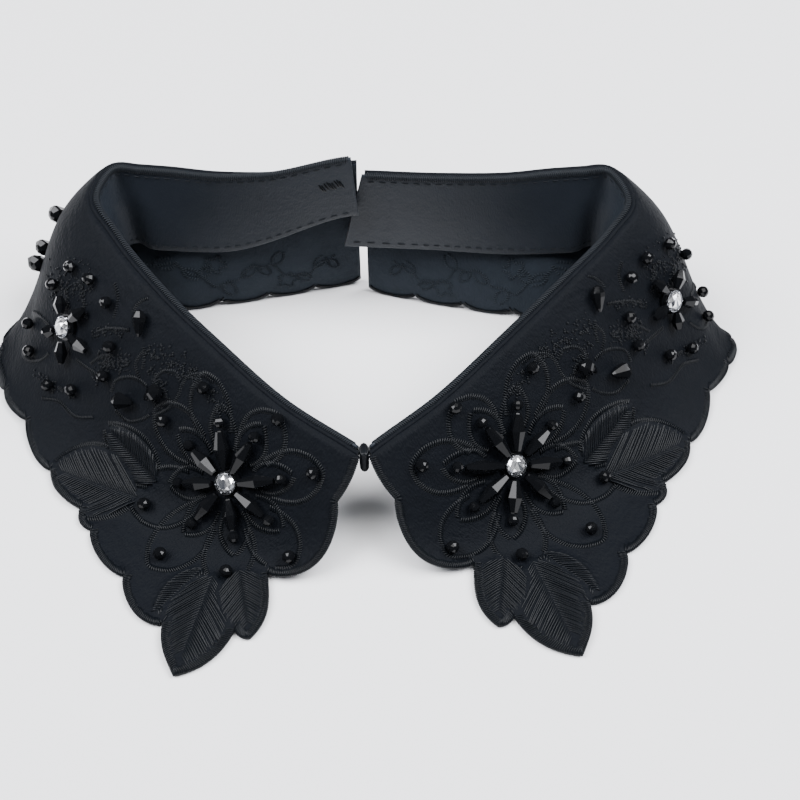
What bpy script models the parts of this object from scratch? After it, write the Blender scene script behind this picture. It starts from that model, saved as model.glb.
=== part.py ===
"""Lace collar, a detachable collar in two mirrored halves that stands on a table like a worn ring.

Every cloth point has pattern coordinates. The station runs along the neck seam from the centre front
to the centre back, and the drop runs down the leaf from that seam. The tables below are in
millimetres and degrees, and the solids are in metres with +Z up and the table top at z = 0.
"""

import math

import bpy
import bmesh
import numpy as np
from mathutils import Matrix
from mathutils import Vector
from mathutils.geometry import delaunay_2d_cdt

OBJECT = "lace_collar"
MM = 0.001

# Walls and seams
LEAF_WALL = 1.2
BAND_WALL = 1.2
SEAM_GAP = 0.3
LEAF_START = 2.8
LEAF_DROP = 0.2
GRIP = 0.38

# Stitched relief on the outer face of a leaf
BORDER_RISE = 0.4
BORDER_WIDTH = 1.6
BORDER_FADE = 0.5
MOTIF_RISE = 0.8
MOTIF_FADE = 0.9
VEIN_DEPTH = 0.45
VEIN_WIDTH = 1.3

# Mesh pitches
EDGE_PITCH = 2.7
GRID_PITCH = 5.2
NECK_PITCH = 4.5
BACK_PITCH = 5.5

# Neck seam and hem
HALF_LENGTH = 193.0
FRONT_SHIFT = 2.5
FRONT_SPREAD = 90.0
FRONT_LINE = 30.0
FRONT_FADE = 50.0
BACK_FADE = 40.0
BACK_TWIST = 0.059
HEM_SPLAY = 2.1
HEM_SPLAY_HEIGHT = 24.0
LEFT_LIFT = 4.0
LEFT_LIFT_REACH = 30.0
LEFT_LIFT_HEIGHT = 54.0
CENTRE_X = 0.0
CENTRE_Y = -12.4

# One row for each cross-section of a half: the point of the neck seam, the point where the cloth
# meets the table, and the angles below the horizontal at which it leaves the seam and lands.
SECTION_COLUMNS = (
    "station", "neck_x", "neck_y", "neck_z", "hem_x", "hem_y", "leave", "land",
    "band_height", "band_lean",
)
SECTION_ROWS = (
    (-12.0, -9.5, -41.8, 24.0, 21.5, -74.5, 38.0, 0.0, 4.0, 10.0),
    (0.0, 0.0, -34.7, 26.5, 29.5, -66.0, 38.0, 0.0, 5.0, 10.0),
    (25.0, 20.5, -21.2, 31.5, 51.0, -54.0, 38.0, 0.0, 10.5, 10.0),
    (50.0, 38.9, -5.0, 37.0, 72.0, -38.0, 36.0, 8.0, 16.5, 8.0),
    (75.0, 56.5, 12.0, 42.0, 93.5, -21.5, 34.0, 18.0, 21.5, 6.0),
    (96.0, 70.0, 27.8, 45.5, 106.5, -1.5, 32.0, 25.0, 25.0, 4.0),
    (107.0, 76.4, 38.0, 47.5, 113.0, 10.0, 34.0, 28.0, 26.5, 2.5),
    (114.0, 74.9, 44.5, 48.5, 114.6, 23.0, 38.0, 32.0, 27.0, 3.5),
    (120.0, 72.0, 48.2, 49.3, 105.0, 33.6, 46.0, 38.0, 27.5, 5.5),
    (127.0, 65.6, 47.6, 49.4, 88.0, 40.3, 58.0, 50.0, 28.0, 12.5),
    (137.0, 56.1, 45.6, 50.4, 64.0, 35.3, 68.0, 75.0, 28.5, 11.5),
    (150.0, 43.6, 42.8, 51.3, 46.0, 37.2, 72.0, 85.0, 29.0, 6.4),
    (170.0, 23.8, 41.6, 52.0, 25.0, 41.4, 72.0, 88.0, 29.0, 2.0),
    (193.0, 1.0, 42.6, 52.0, 1.5, 47.4, 72.0, 88.0, 29.0, 1.5),
)

# The cut edge of a leaf from the centre front to the shoulder: each arc starts at its own corner
# and bulges outward from the straight line to the next corner.
ARC_COLUMNS = ("station", "drop", "bulge", "lean", "fullness")
ARC_ROWS = (
    (-0.2, 0.0, 0.7, 1.0, 0.9),
    (-0.2, 14.0, 7.8, 1.2, 0.65),
    (5.6, 41.6, 2.8, 1.3, 0.8),
    (-4.5, 58.3, 0.9, 1.0, 0.8),
    (0.6, 59.2, 2.9, 1.0, 0.8),
    (3.8, 78.9, 1.5, 1.2, 0.8),
    (17.6, 69.4, 3.9, 0.9, 0.55),
    (36.1, 67.0, 2.9, 1.0, 0.55),
    (52.7, 65.2, 2.1, 1.1, 0.6),
    (59.7, 62.9, 2.3, 1.2, 0.6),
    (75.4, 61.8, 2.6, 0.9, 0.55),
    (92.6, 59.5, 1.6, 1.0, 0.6),
)
LAST_CORNER = (104.6, 61.9)
BACK_LOBES = 9
BACK_DEPTH = 2.2
BACK_FULLNESS = 0.6

# Padded leaves worked on the outer face, from the base of each to its point.
MOTIF_COLUMNS = ("base_s", "base_t", "tip_s", "tip_t", "half_width", "blunt")
MOTIF_ROWS = (
    (50.0, 49.5, 76.0, 61.5, 10.2, 1.00),
    (48.0, 42.5, 70.0, 41.0, 6.0, 0.85),
    (12.5, 45.5, -4.3, 58.1, 5.6, 0.85),
    (17.5, 50.5, 3.8, 78.3, 8.3, 1.05),
    (21.0, 51.0, 21.6, 70.4, 4.6, 0.90),
)

# Beaded flowers: centre, ring of long petals, round beads at the petal ends. Sewn by hand, they sit
# a little nearer the back on the right half than on the left.
FLOWER_COLUMNS = ("name", "station", "drop", "petals", "first_angle", "petal_length", "petal_radius",
                  "tip_radius")
FLOWER_ROWS = (
    ("front_flower", 30.5, 27.3, 8, 38.0, 10.1, 1.9, 2.0),
    ("shoulder_flower", 96.2, 28.8, 5, 39.0, 7.1, 2.1, 0.0),
)
HAND_SHIFT = 0.5
HAND_SLOPE = 0.016
STONE_RADIUS = 3.5
STONE_HEIGHT = 3.4
RING_WALL = 1.3
RING_HEIGHT = 2.1
FLOWER_LIFT = 0.45
PETAL_GAP = 0.7
BEAD_SIDES = 6
RING_SIDES = 18

# Centre front bar and centre back hook
BAR_SIZE = (1.8, 3.4, 5.2)
BAR_CENTRE = (0.0, -36.0, 24.2)
BAR_BEVEL = 0.5
HOOK_START = 182.0
HOOK_END = 190.0
HOOK_LEVEL = 11.0
HOOK_HEIGHT = 3.6
HOOK_WALL = 0.8

# Ends of the two bands at the centre back: station of the top and bottom corners, the step towards
# the inside, and the lift of the top and the bottom.
BAND_COLUMNS = ("name", "side", "end_top", "end_bottom", "step", "lift_top", "lift_bottom")
BAND_ROWS = (
    ("band_left", -1, 191.2, 192.7, 1.8, 4.1, 12.8),
    ("band_right", 1, 193.8, 200.0, 0.0, 0.0, 0.0),
)
BAND_FRONT = 1.7
BAND_ROW_COUNT = 5
BAND_END_REACH = 18.0
BAND_LIFT_REACH = 45.0


def smooth(w):
    """Ease from 0 to 1."""
    w = min(max(w, 0.0), 1.0)
    return w * w * (3.0 - 2.0 * w)


def row_dict(columns, row):
    return dict(zip(columns, row))


def column_value(name, at):
    """Value of a section column at a station, on a smooth line through the rows."""
    col = SECTION_COLUMNS.index(name)
    xs = [row[0] for row in SECTION_ROWS]
    ys = [row[col] for row in SECTION_ROWS]
    slopes = [(ys[i + 1] - ys[i]) / (xs[i + 1] - xs[i]) for i in range(len(xs) - 1)]
    if at <= xs[0]:
        return ys[0] + slopes[0] * (at - xs[0])
    if at >= xs[-1]:
        return ys[-1] + slopes[-1] * (at - xs[-1])
    i = 0
    while at > xs[i + 1]:
        i += 1

    def tangent(k):
        if k == 0:
            return slopes[0]
        if k == len(xs) - 1:
            return slopes[-1]
        before = xs[k] - xs[k - 1]
        after = xs[k + 1] - xs[k]
        return (slopes[k - 1] * after + slopes[k] * before) / (before + after)

    span = xs[i + 1] - xs[i]
    u = (at - xs[i]) / span
    value = (2 * u**3 - 3 * u**2 + 1) * ys[i]
    value += (u**3 - 2 * u**2 + u) * span * tangent(i)
    value += (3 * u**2 - 2 * u**3) * ys[i + 1]
    value += (u**3 - u**2) * span * tangent(i + 1)
    return value


def neck_point(s):
    return Vector((column_value("neck_x", s), column_value("neck_y", s), column_value("neck_z", s)))


def outward(s):
    """Horizontal direction away from the neck at a station."""
    run = neck_point(s + 0.5) - neck_point(s - 0.5)
    return Vector((run.y, -run.x, 0.0)).normalized()


SECTION_CACHE = {}


def section(s):
    """Polyline of the leaf's outer face at a station, its lengths and its landing direction."""
    key = round(s, 2)
    if key in SECTION_CACHE:
        return SECTION_CACHE[key]
    out = outward(key)
    leave = math.radians(column_value("leave", key))
    land = math.radians(column_value("land", key))
    start = neck_point(key) + LEAF_START * out - Vector((0.0, 0.0, LEAF_DROP))
    hem = Vector((column_value("hem_x", key), column_value("hem_y", key), LEAF_WALL * math.cos(land)))
    run = Vector((hem.x - start.x, hem.y - start.y, 0.0)).normalized()
    reach = GRIP * (hem - start).length
    down = Vector((0.0, 0.0, 1.0))
    first = start + reach * (out * math.cos(leave) - down * math.sin(leave))
    second = hem - reach * (run * math.cos(land) - down * math.sin(land))
    points = []
    for step in range(33):
        v = step / 32.0
        w = 1.0 - v
        point = w**3 * start + 3 * w * w * v * first + 3 * w * v * v * second + v**3 * hem
        points.append(point)
    lengths = [0.0]
    for a, b in zip(points[:-1], points[1:]):
        lengths.append(lengths[-1] + (b - a).length)
    SECTION_CACHE[key] = (points, lengths, run)
    return SECTION_CACHE[key]


def hem_drop(s):
    """Length of cloth from the seam to the table at a station."""
    return section(s)[1][-1]


def drape(s, t):
    """Point of the right leaf's outer face for pattern coordinates, before the skew."""
    points, lengths, run = section(s)
    if t >= lengths[-1]:
        return points[-1] + (t - lengths[-1]) * run
    if t <= 0.0:
        return points[0] + t * (points[1] - points[0]).normalized()
    i = 0
    while lengths[i + 1] < t:
        i += 1
    u = (t - lengths[i]) / (lengths[i + 1] - lengths[i])
    return points[i].lerp(points[i + 1], u)


def stretch(s, t):
    """Length on the cloth of one millimetre of station, at least one half."""
    return max((drape(s + 0.5, t) - drape(s - 0.5, t)).length, 0.5)


def face_normal(s, t):
    """Direction out of the right leaf's outer face."""
    across = drape(s + 0.6, t) - drape(s - 0.6, t)
    along = drape(s, t + 0.6) - drape(s, t - 0.6)
    return along.cross(across).normalized()


def placed(point, side):
    """Position in metres of a point in millimetres on the right (1) or the left half (-1)."""
    x = side * point.x
    y = point.y
    z = point.z
    back = smooth(y / BACK_FADE)
    shift = smooth((FRONT_LINE - y) / FRONT_FADE) * smooth(1.0 - abs(x) / FRONT_SPREAD)
    y -= back * (BACK_TWIST * x + side * HEM_SPLAY * max(1.0 - z / HEM_SPLAY_HEIGHT, 0.0))
    if side < 0:
        z += LEFT_LIFT * back * smooth(1.0 - abs(x) / LEFT_LIFT_REACH) * z / LEFT_LIFT_HEIGHT
    return Vector((x - CENTRE_X - FRONT_SHIFT * shift, y - CENTRE_Y, z)) * MM


def edge_points():
    """Pattern coordinates along the scalloped edge, from the centre front to the centre back."""
    arcs = [row_dict(ARC_COLUMNS, row) for row in ARC_ROWS]
    corners = [(arc["station"], arc["drop"]) for arc in arcs] + [LAST_CORNER]
    points = []
    for arc, a, b in zip(arcs, corners[:-1], corners[1:]):
        chord = math.hypot(b[0] - a[0], b[1] - a[1])
        across = ((a[1] - b[1]) / chord, (b[0] - a[0]) / chord)
        steps = max(3, round((chord + 2.0 * arc["bulge"]) / EDGE_PITCH))
        for k in range(steps):
            u = k / steps
            u = u - 0.35 * math.sin(2.0 * math.pi * u) / (2.0 * math.pi)
            rise = arc["bulge"] * max(math.sin(math.pi * u**arc["lean"]), 0.0)**arc["fullness"]
            s = a[0] + (b[0] - a[0]) * u + across[0] * rise
            t = a[1] + (b[1] - a[1]) * u + across[1] * rise
            points.append((s, t))
    points += back_edge_points()
    return points


def back_edge_points():
    """Even scallops from the shoulder to the centre back, measured along the hem."""
    stations = np.linspace(LAST_CORNER[0], HALF_LENGTH, 200)
    hems = np.array([drape(s, hem_drop(s))[:] for s in stations])
    lengths = np.concatenate([[0.0], np.cumsum(np.linalg.norm(np.diff(hems, axis=0), axis=1))])
    lobe = lengths[-1] / BACK_LOBES
    per_lobe = 6
    points = []
    for k in range(BACK_LOBES * per_lobe + 1):
        u = (k % per_lobe) / per_lobe
        warped = u - 0.35 * math.sin(2.0 * math.pi * u) / (2.0 * math.pi)
        s = float(np.interp((k // per_lobe + warped) * lobe, lengths, stations))
        rise = max(math.sin(math.pi * warped), 0.0)**BACK_FULLNESS
        points.append((s, hem_drop(s) - BACK_DEPTH * (1.0 - rise)))
    return points


def outline():
    """Closed outline of a leaf, and the number of its points that are on the scalloped edge."""
    edge = edge_points()
    points = list(edge)
    foot = hem_drop(HALF_LENGTH) - BACK_DEPTH
    count = round(foot / BACK_PITCH)
    for k in range(1, count):
        points.append((HALF_LENGTH, foot * (1.0 - k / count)))
    s = HALF_LENGTH
    start = edge[0][0]
    while s > start + 0.6 * NECK_PITCH:
        points.append((s, 0.0))
        tight = 0.6 if 104.0 < s < 130.0 else 1.0
        s -= NECK_PITCH * tight
    return points, len(edge)


class Outline:
    """Distances and inside tests against a leaf's outline."""

    def __init__(self):
        points, count = outline()
        self.points = np.array(points)
        self.edge_count = count
        self.edge = self.points[:count]

    def edge_distance(self, s, t):
        a = self.edge[:-1]
        d = self.edge[1:] - a
        p = np.array((s, t)) - a
        u = np.clip((p * d).sum(1) / (d * d).sum(1), 0.0, 1.0)
        return float(np.linalg.norm(p - d * u[:, None], axis=1).min())

    def holds(self, s, t):
        a = self.points
        b = np.roll(a, -1, axis=0)
        level = (a[:, 1] > t) != (b[:, 1] > t)
        rise = b[:, 1] - a[:, 1]
        rise = np.where(np.abs(rise) < 1e-9, 1e-9, rise)
        cross = a[:, 0] + (t - a[:, 1]) / rise * (b[:, 0] - a[:, 0])
        return bool((level & (s < cross)).sum() % 2)


def motif_frame(motif):
    ds = motif["tip_s"] - motif["base_s"]
    dt = motif["tip_t"] - motif["base_t"]
    length = math.hypot(ds, dt)
    return length, (ds / length, dt / length)


def motif_width(motif, u):
    """Half width of a padded leaf at a fraction of its length."""
    if u <= 0.0 or u >= 1.0:
        return 0.0
    return motif["half_width"] * math.sin(math.pi * u**motif["blunt"])**0.8


def motif_height(motif, s, t):
    """Rise of the cloth over one padded leaf, with a groove at its vein."""
    length, axis = motif_frame(motif)
    ps = s - motif["base_s"]
    pt = t - motif["base_t"]
    u = (ps * axis[0] + pt * axis[1]) / length
    off = abs(ps * axis[1] - pt * axis[0])
    inside = motif_width(motif, u) - off
    if inside <= 0.0:
        return 0.0
    height = MOTIF_RISE * smooth(inside / MOTIF_FADE)
    groove = VEIN_DEPTH * (1.0 - smooth(off / VEIN_WIDTH)) * smooth((1.0 - u) / 0.15)
    return max(height - groove, 0.0)


def relief(shape, s, t):
    """Rise of the outer face at a pattern point."""
    away = shape.edge_distance(s, t)
    border = BORDER_RISE * (1.0 - smooth((away - BORDER_WIDTH) / BORDER_FADE))
    motifs = [row_dict(MOTIF_COLUMNS, row) for row in MOTIF_ROWS]
    return max([border] + [motif_height(motif, s, t) for motif in motifs])


def motif_points(motif):
    """Pattern points that shape one padded leaf: its rim, its shoulder and its vein."""
    length, axis = motif_frame(motif)
    points = []
    steps = max(6, round(length / 2.9))
    for inset, span in ((0.0, 1.0), (MOTIF_FADE, 1.0)):
        for k in range(steps + 1):
            u = k / steps
            for hand in (-1, 1):
                off = max(motif_width(motif, u) - inset, 0.0) * hand
                s = motif["base_s"] + u * span * length * axis[0] + off * axis[1]
                t = motif["base_t"] + u * span * length * axis[1] - off * axis[0]
                points.append((s, t))
    for k in range(1, steps):
        u = k / steps
        for off in (0.0, -VEIN_WIDTH, VEIN_WIDTH):
            if abs(off) < motif_width(motif, u) - MOTIF_FADE - 0.5:
                s = motif["base_s"] + u * length * axis[0] + off * axis[1]
                t = motif["base_t"] + u * length * axis[1] - off * axis[0]
                points.append((s, t))
    return points


def border_points(shape, inset):
    """Pattern points a fixed distance inside the scalloped edge."""
    edge = shape.edge
    points = []
    for k in range(1, len(edge) - 1):
        run = edge[k + 1] - edge[k - 1]
        run = run / np.linalg.norm(run)
        inner = edge[k] + inset * np.array((run[1], -run[0]))
        if shape.edge_distance(inner[0], inner[1]) > 0.9 * inset:
            points.append((float(inner[0]), float(inner[1])))
    return points


def grid_points():
    """Pattern points at an even pitch on the draped cloth."""
    points = []
    row = 0
    t = 0.55 * GRID_PITCH
    while t < 80.0:
        s = -4.0 + (0.5 * GRID_PITCH if row % 2 else 0.0)
        while s < HALF_LENGTH:
            if t < hem_drop(s) + 30.0:
                points.append((s, t))
            s += GRID_PITCH / stretch(s, min(t, hem_drop(s)))
        t += 0.9 * GRID_PITCH
        row += 1
    return points


def pattern_points(shape):
    """Outline points first, then the points that shape the relief, then the plain grid."""
    kept = [tuple(p) for p in shape.points]
    border = border_points(shape, BORDER_WIDTH - 0.1)
    border += border_points(shape, BORDER_WIDTH + BORDER_FADE)
    motifs = []
    for row in MOTIF_ROWS:
        motifs += motif_points(row_dict(MOTIF_COLUMNS, row))
    for group, spacing, margin in ((motifs, 0.8, 0.5), (border, 0.8, 0.5), (grid_points(), 2.6, 2.2)):
        for s, t in group:
            if t < 1.0 or s > HALF_LENGTH - 1.0 or not shape.holds(s, t):
                continue
            scale = stretch(s, min(t, hem_drop(s)))
            if shape.edge_distance(s, t) < margin:
                continue
            near = np.array(kept) - (s, t)
            if np.hypot(near[:, 0] * min(scale, 2.5), near[:, 1]).min() < spacing:
                continue
            kept.append((s, t))
    return kept


def triangulated(shape):
    """Flat triangulation of a leaf's pattern."""
    kept = pattern_points(shape)
    ring = list(range(len(shape.points)))
    flat = delaunay_2d_cdt([Vector(p) for p in kept], [], [ring], 1, 1e-5)
    points = [(v.x, v.y) for v in flat[0]]
    return points, [tuple(f) for f in flat[2]]


def material(name, colour, roughness, coat=0.0):
    """A Principled material with a plain colour."""
    mat = bpy.data.materials.new(name)
    mat.use_nodes = True
    shader = mat.node_tree.nodes["Principled BSDF"]
    shader.inputs["Base Color"].default_value = (colour[0], colour[1], colour[2], 1.0)
    shader.inputs["Roughness"].default_value = roughness
    shader.inputs["Coat Weight"].default_value = coat
    mat.diffuse_color = (colour[0], colour[1], colour[2], 1.0)
    return mat


def add_object(name, mesh, collection, mat, rounded):
    mesh.materials.clear()
    mesh.materials.append(mat)
    for polygon in mesh.polygons:
        polygon.use_smooth = rounded
    obj = bpy.data.objects.new(name, mesh)
    collection.objects.link(obj)
    return obj


def evaluated(obj, name):
    """Plain mesh of an object with its modifiers applied; the object is removed."""
    bpy.context.view_layer.update()
    graph = bpy.context.evaluated_depsgraph_get()
    mesh = bpy.data.meshes.new_from_object(obj.evaluated_get(graph), depsgraph=graph)
    mesh.name = name
    bpy.data.objects.remove(obj, do_unlink=True)
    return mesh


def thickened(name, points, faces, wall, collection):
    """Closed shell with the given faces outside and a wall on their inner side."""
    mesh = bpy.data.meshes.new(name + "_face")
    mesh.from_pydata(points, [], faces)
    obj = bpy.data.objects.new(name + "_face", mesh)
    collection.objects.link(obj)
    shell = obj.modifiers.new("wall", "SOLIDIFY")
    shell.thickness = wall * MM
    shell.offset = -1.0
    shell.use_even_offset = True
    shell.use_quality_normals = True
    shell.use_rim = True
    return evaluated(obj, name)


def build_leaf(name, side, shape, flat, collection, mat):
    """One draped leaf: plain inside, relief on the outer points, underside flat on the table."""
    pattern, faces = flat
    outer = [placed(drape(s, t), side) for s, t in pattern]
    if side > 0:
        faces = [tuple(reversed(face)) for face in faces]
    mesh = thickened(name, outer, faces, LEAF_WALL, collection)
    normals = [Vector(face_normal(s, t)) for s, t in pattern]
    for index, (s, t) in enumerate(pattern):
        normal = normals[index]
        rise = relief(shape, s, t) * MM
        mesh.vertices[index].co += Vector((side * normal.x, normal.y, normal.z)) * rise
    for index, vertex in enumerate(mesh.vertices):
        level = 0.0 if index < len(pattern) else 0.06 * MM
        if vertex.co.z < level:
            vertex.co.z = 0.0
    return add_object(name, mesh, collection, mat, True)


def band_point(s, v, band):
    """Point of a band's inner face, at a fraction of its height below the seam."""
    top = neck_point(s)
    lean = math.radians(column_value("band_lean", s))
    fall = column_value("band_height", s) * v
    out = outward(s)
    point = top - out * (fall * math.sin(lean)) - Vector((0.0, 0.0, fall * math.cos(lean)))
    ending = smooth((s - HALF_LENGTH + BAND_LIFT_REACH) / BAND_LIFT_REACH)
    point -= out * band["step"] * ending
    point.z += (band["lift_top"] * (1.0 - v) + band["lift_bottom"] * v) * ending
    return point


def band_stations(end):
    stations = [BAND_FRONT]
    while stations[-1] < end - 1.0:
        s = stations[-1]
        pitch = 2.4 if 104.0 < s < 128.0 else 6.0
        stations.append(min(s + pitch, end))
    if end - stations[-2] < 2.0:
        stations.pop(-2)
    return stations


def build_band(row, collection, mat):
    """One inner band, hung from the neck seam inside the leaf."""
    band = row_dict(BAND_COLUMNS, row)
    side = band["side"]
    end = band["end_top"]
    stations = band_stations(end)
    points = []
    for s in stations:
        ending = smooth((s - end + BAND_END_REACH) / BAND_END_REACH)
        for k in range(BAND_ROW_COUNT):
            v = k / (BAND_ROW_COUNT - 1)
            at = s + (band["end_bottom"] - end) * v * ending
            points.append(placed(band_point(at, v, band), side))
    faces = []
    for i in range(len(stations) - 1):
        for k in range(BAND_ROW_COUNT - 1):
            a = i * BAND_ROW_COUNT + k
            b = a + BAND_ROW_COUNT
            face = (a, b, b + 1, a + 1)
            faces.append(face if side > 0 else tuple(reversed(face)))
    mesh = thickened(band["name"], points, faces, BAND_WALL, collection)
    return add_object(band["name"], mesh, collection, mat, True)


def lathe(profile, sides, start=0.0):
    """Closed solid turned about +Z from (radius, height) pairs in millimetres."""
    solid = bmesh.new()
    points = [solid.verts.new((r * MM * math.cos(start), r * MM * math.sin(start), z * MM))
              for r, z in profile]
    edges = [solid.edges.new(pair) for pair in zip(points[:-1], points[1:])]
    if profile[0][0] > 0.0 and profile[-1][0] > 0.0:
        edges.append(solid.edges.new((points[-1], points[0])))
    bmesh.ops.spin(solid, geom=points + edges, cent=(0, 0, 0), axis=(0, 0, 1), angle=2.0 * math.pi,
                   steps=sides, use_merge=True)
    bmesh.ops.remove_doubles(solid, verts=solid.verts, dist=0.000001)
    bmesh.ops.recalc_face_normals(solid, faces=solid.faces)
    return solid


def bead_frame(origin, axis, up):
    """Matrix that puts a turned bead's +Z on an axis through an origin, in metres."""
    z = axis.normalized()
    x = up.cross(z).normalized()
    y = z.cross(x)
    matrix = Matrix((x, y, z)).transposed().to_4x4()
    matrix.translation = origin
    return matrix


def add_shape(target, solid, matrix):
    """Copy a turned solid into a target mesh through a matrix."""
    mesh = bpy.data.meshes.new("shape")
    solid.to_mesh(mesh)
    mesh.transform(matrix)
    target.from_mesh(mesh)
    bpy.data.meshes.remove(mesh)
    solid.free()


def lifted(shape, s, t, height, side):
    """Point in metres a height above the relief of a leaf's outer face."""
    normal = face_normal(s, t)
    point = drape(s, t) + normal * (relief(shape, s, t) + height)
    return placed(point, side)


def ring_spot(flower, radius, angle, side):
    """Pattern point at a true distance and a pattern angle from a flower's centre."""
    s = flower["station"]
    t = flower["drop"]
    centre = placed(drape(s, t), side)
    scale = stretch(s, t)
    reach = radius
    for _ in range(4):
        spot = (s + reach * math.cos(angle) / scale, t + reach * math.sin(angle))
        reach *= radius * MM / (placed(drape(*spot), side) - centre).length
    return spot


def petal_profile(length, radius):
    return ((0.0, 0.0), (0.5 * radius, 0.0), (radius, 0.36 * length), (radius, 0.62 * length),
            (0.5 * radius, length), (0.0, length))


def bead_profile(radius):
    return ((0.0, -0.92 * radius), (0.55 * radius, -0.85 * radius), (radius, -0.3 * radius),
            (radius, 0.3 * radius), (0.55 * radius, 0.85 * radius), (0.0, 0.92 * radius))


def stone_profile():
    h = STONE_HEIGHT
    r = STONE_RADIUS
    return ((0.0, 0.0), (0.9 * r, 0.0), (r, 0.18 * h), (r, 0.55 * h), (0.93 * r, 0.62 * h),
            (0.55 * r, h), (0.0, h))


def face_up(s, t, side):
    """Direction out of a placed leaf's outer face."""
    across = placed(drape(s + 0.6, t), side) - placed(drape(s - 0.6, t), side)
    along = placed(drape(s, t + 0.6), side) - placed(drape(s, t - 0.6), side)
    return (side * along.cross(across)).normalized()


def joined(name, parts, collection):
    """One closed body from overlapping closed shapes."""
    objects = []
    for index, (solid, matrix) in enumerate(parts):
        target = bmesh.new()
        add_shape(target, solid, matrix)
        bmesh.ops.recalc_face_normals(target, faces=target.faces)
        mesh = bpy.data.meshes.new("{}_{}".format(name, index))
        target.to_mesh(mesh)
        target.free()
        obj = bpy.data.objects.new(mesh.name, mesh)
        collection.objects.link(obj)
        objects.append(obj)
    base = objects[0]
    for other in objects[1:]:
        join = base.modifiers.new("join", "BOOLEAN")
        join.operation = "UNION"
        join.solver = "EXACT"
        join.object = other
    mesh = evaluated(base, name)
    for other in objects[1:]:
        bpy.data.objects.remove(other, do_unlink=True)
    return mesh


def build_flower(row, side, shape, collection, beads, stones):
    """One beaded flower and the stone at its centre, both lying on the leaf."""
    flower = row_dict(FLOWER_COLUMNS, row)
    flower["station"] += side * (HAND_SHIFT + HAND_SLOPE * flower["station"])
    hand = "right" if side > 0 else "left"
    up = face_up(flower["station"], flower["drop"], side)
    centre = lifted(shape, flower["station"], flower["drop"], FLOWER_LIFT, side)
    tangent = Vector((0.0, 0.0, 1.0)).cross(up)
    seat = bead_frame(centre, up, tangent)
    inner = STONE_RADIUS + SEAM_GAP
    ring = lathe(((inner, 0.0), (inner + RING_WALL, 0.0), (inner + RING_WALL, RING_HEIGHT),
                  (inner, RING_HEIGHT)), RING_SIDES)
    parts = [(ring, seat)]
    for k in range(flower["petals"]):
        angle = math.radians(flower["first_angle"] + 360.0 * k / flower["petals"])
        radius = flower["petal_radius"]
        level = radius + FLOWER_LIFT + 0.15
        first = inner + PETAL_GAP
        last = first + flower["petal_length"]
        near = lifted(shape, *ring_spot(flower, first, angle, side), level, side)
        far = lifted(shape, *ring_spot(flower, last, angle, side), level, side)
        axis = far - near
        petal = lathe(petal_profile(axis.length / MM, radius), BEAD_SIDES)
        parts.append((petal, bead_frame(near, axis, up)))
        tip = flower["tip_radius"]
        if tip > 0.0:
            spot = ring_spot(flower, last + 0.75 * tip, angle, side)
            bead = lathe(bead_profile(tip), BEAD_SIDES + 2)
            parts.append((bead, bead_frame(lifted(shape, *spot, tip + 0.5, side), up, axis)))
    name = "{}_{}".format(flower["name"], hand)
    add_object(name, joined(name, parts, collection), collection, beads, False)
    stone = bmesh.new()
    add_shape(stone, lathe(stone_profile(), RING_SIDES - 6), seat)
    bmesh.ops.recalc_face_normals(stone, faces=stone.faces)
    name = name.replace("flower", "stone")
    mesh = bpy.data.meshes.new(name)
    stone.to_mesh(mesh)
    stone.free()
    add_object(name, mesh, collection, stones, False)


def bevelled_block(name, corners, collection, mat, width, segments):
    """Block with rounded edges through eight corners in metres."""
    block = bmesh.new()
    bmesh.ops.create_cube(block, size=1.0)
    for vertex in block.verts:
        key = (vertex.co.x > 0, vertex.co.y > 0, vertex.co.z > 0)
        vertex.co = corners[key]
    bmesh.ops.recalc_face_normals(block, faces=block.faces)
    mesh = bpy.data.meshes.new(name + "_block")
    block.to_mesh(mesh)
    block.free()
    obj = bpy.data.objects.new(name + "_block", mesh)
    collection.objects.link(obj)
    bevel = obj.modifiers.new("round", "BEVEL")
    bevel.width = width * MM
    bevel.segments = segments
    bevel.limit_method = "NONE"
    return add_object(name, evaluated(obj, name), collection, mat, True)


def build_bar(collection, mat):
    """Stitched bar that joins the halves at the centre front."""
    corners = {}
    for i in (False, True):
        for j in (False, True):
            for k in (False, True):
                signs = Vector((1 if i else -1, 1 if j else -1, 1 if k else -1))
                point = Vector(BAR_CENTRE) + 0.5 * Vector(BAR_SIZE) * signs
                point.y += 0.35 * signs.z * 0.5 * BAR_SIZE[2]
                corners[(i, j, k)] = placed(point, 1)
    bevelled_block("front_bar", corners, collection, mat, BAR_BEVEL, 2)


def build_hook(collection, mat):
    """Flat hook sewn behind the left band's end at the centre back."""
    band = row_dict(BAND_COLUMNS, BAND_ROWS[0])
    corners = {}
    for i in (False, True):
        for j in (False, True):
            for k in (False, True):
                s = HOOK_END if i else HOOK_START
                level = HOOK_LEVEL + (0.0 if k else HOOK_HEIGHT)
                v = level / column_value("band_height", s)
                depth = BAND_WALL + SEAM_GAP + 0.15 + (HOOK_WALL if j else 0.0)
                point = band_point(s, v, band) + outward(s) * depth
                corners[(i, j, k)] = placed(point, -1)
    bevelled_block("back_hook", corners, collection, mat, 0.25, 1)


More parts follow.
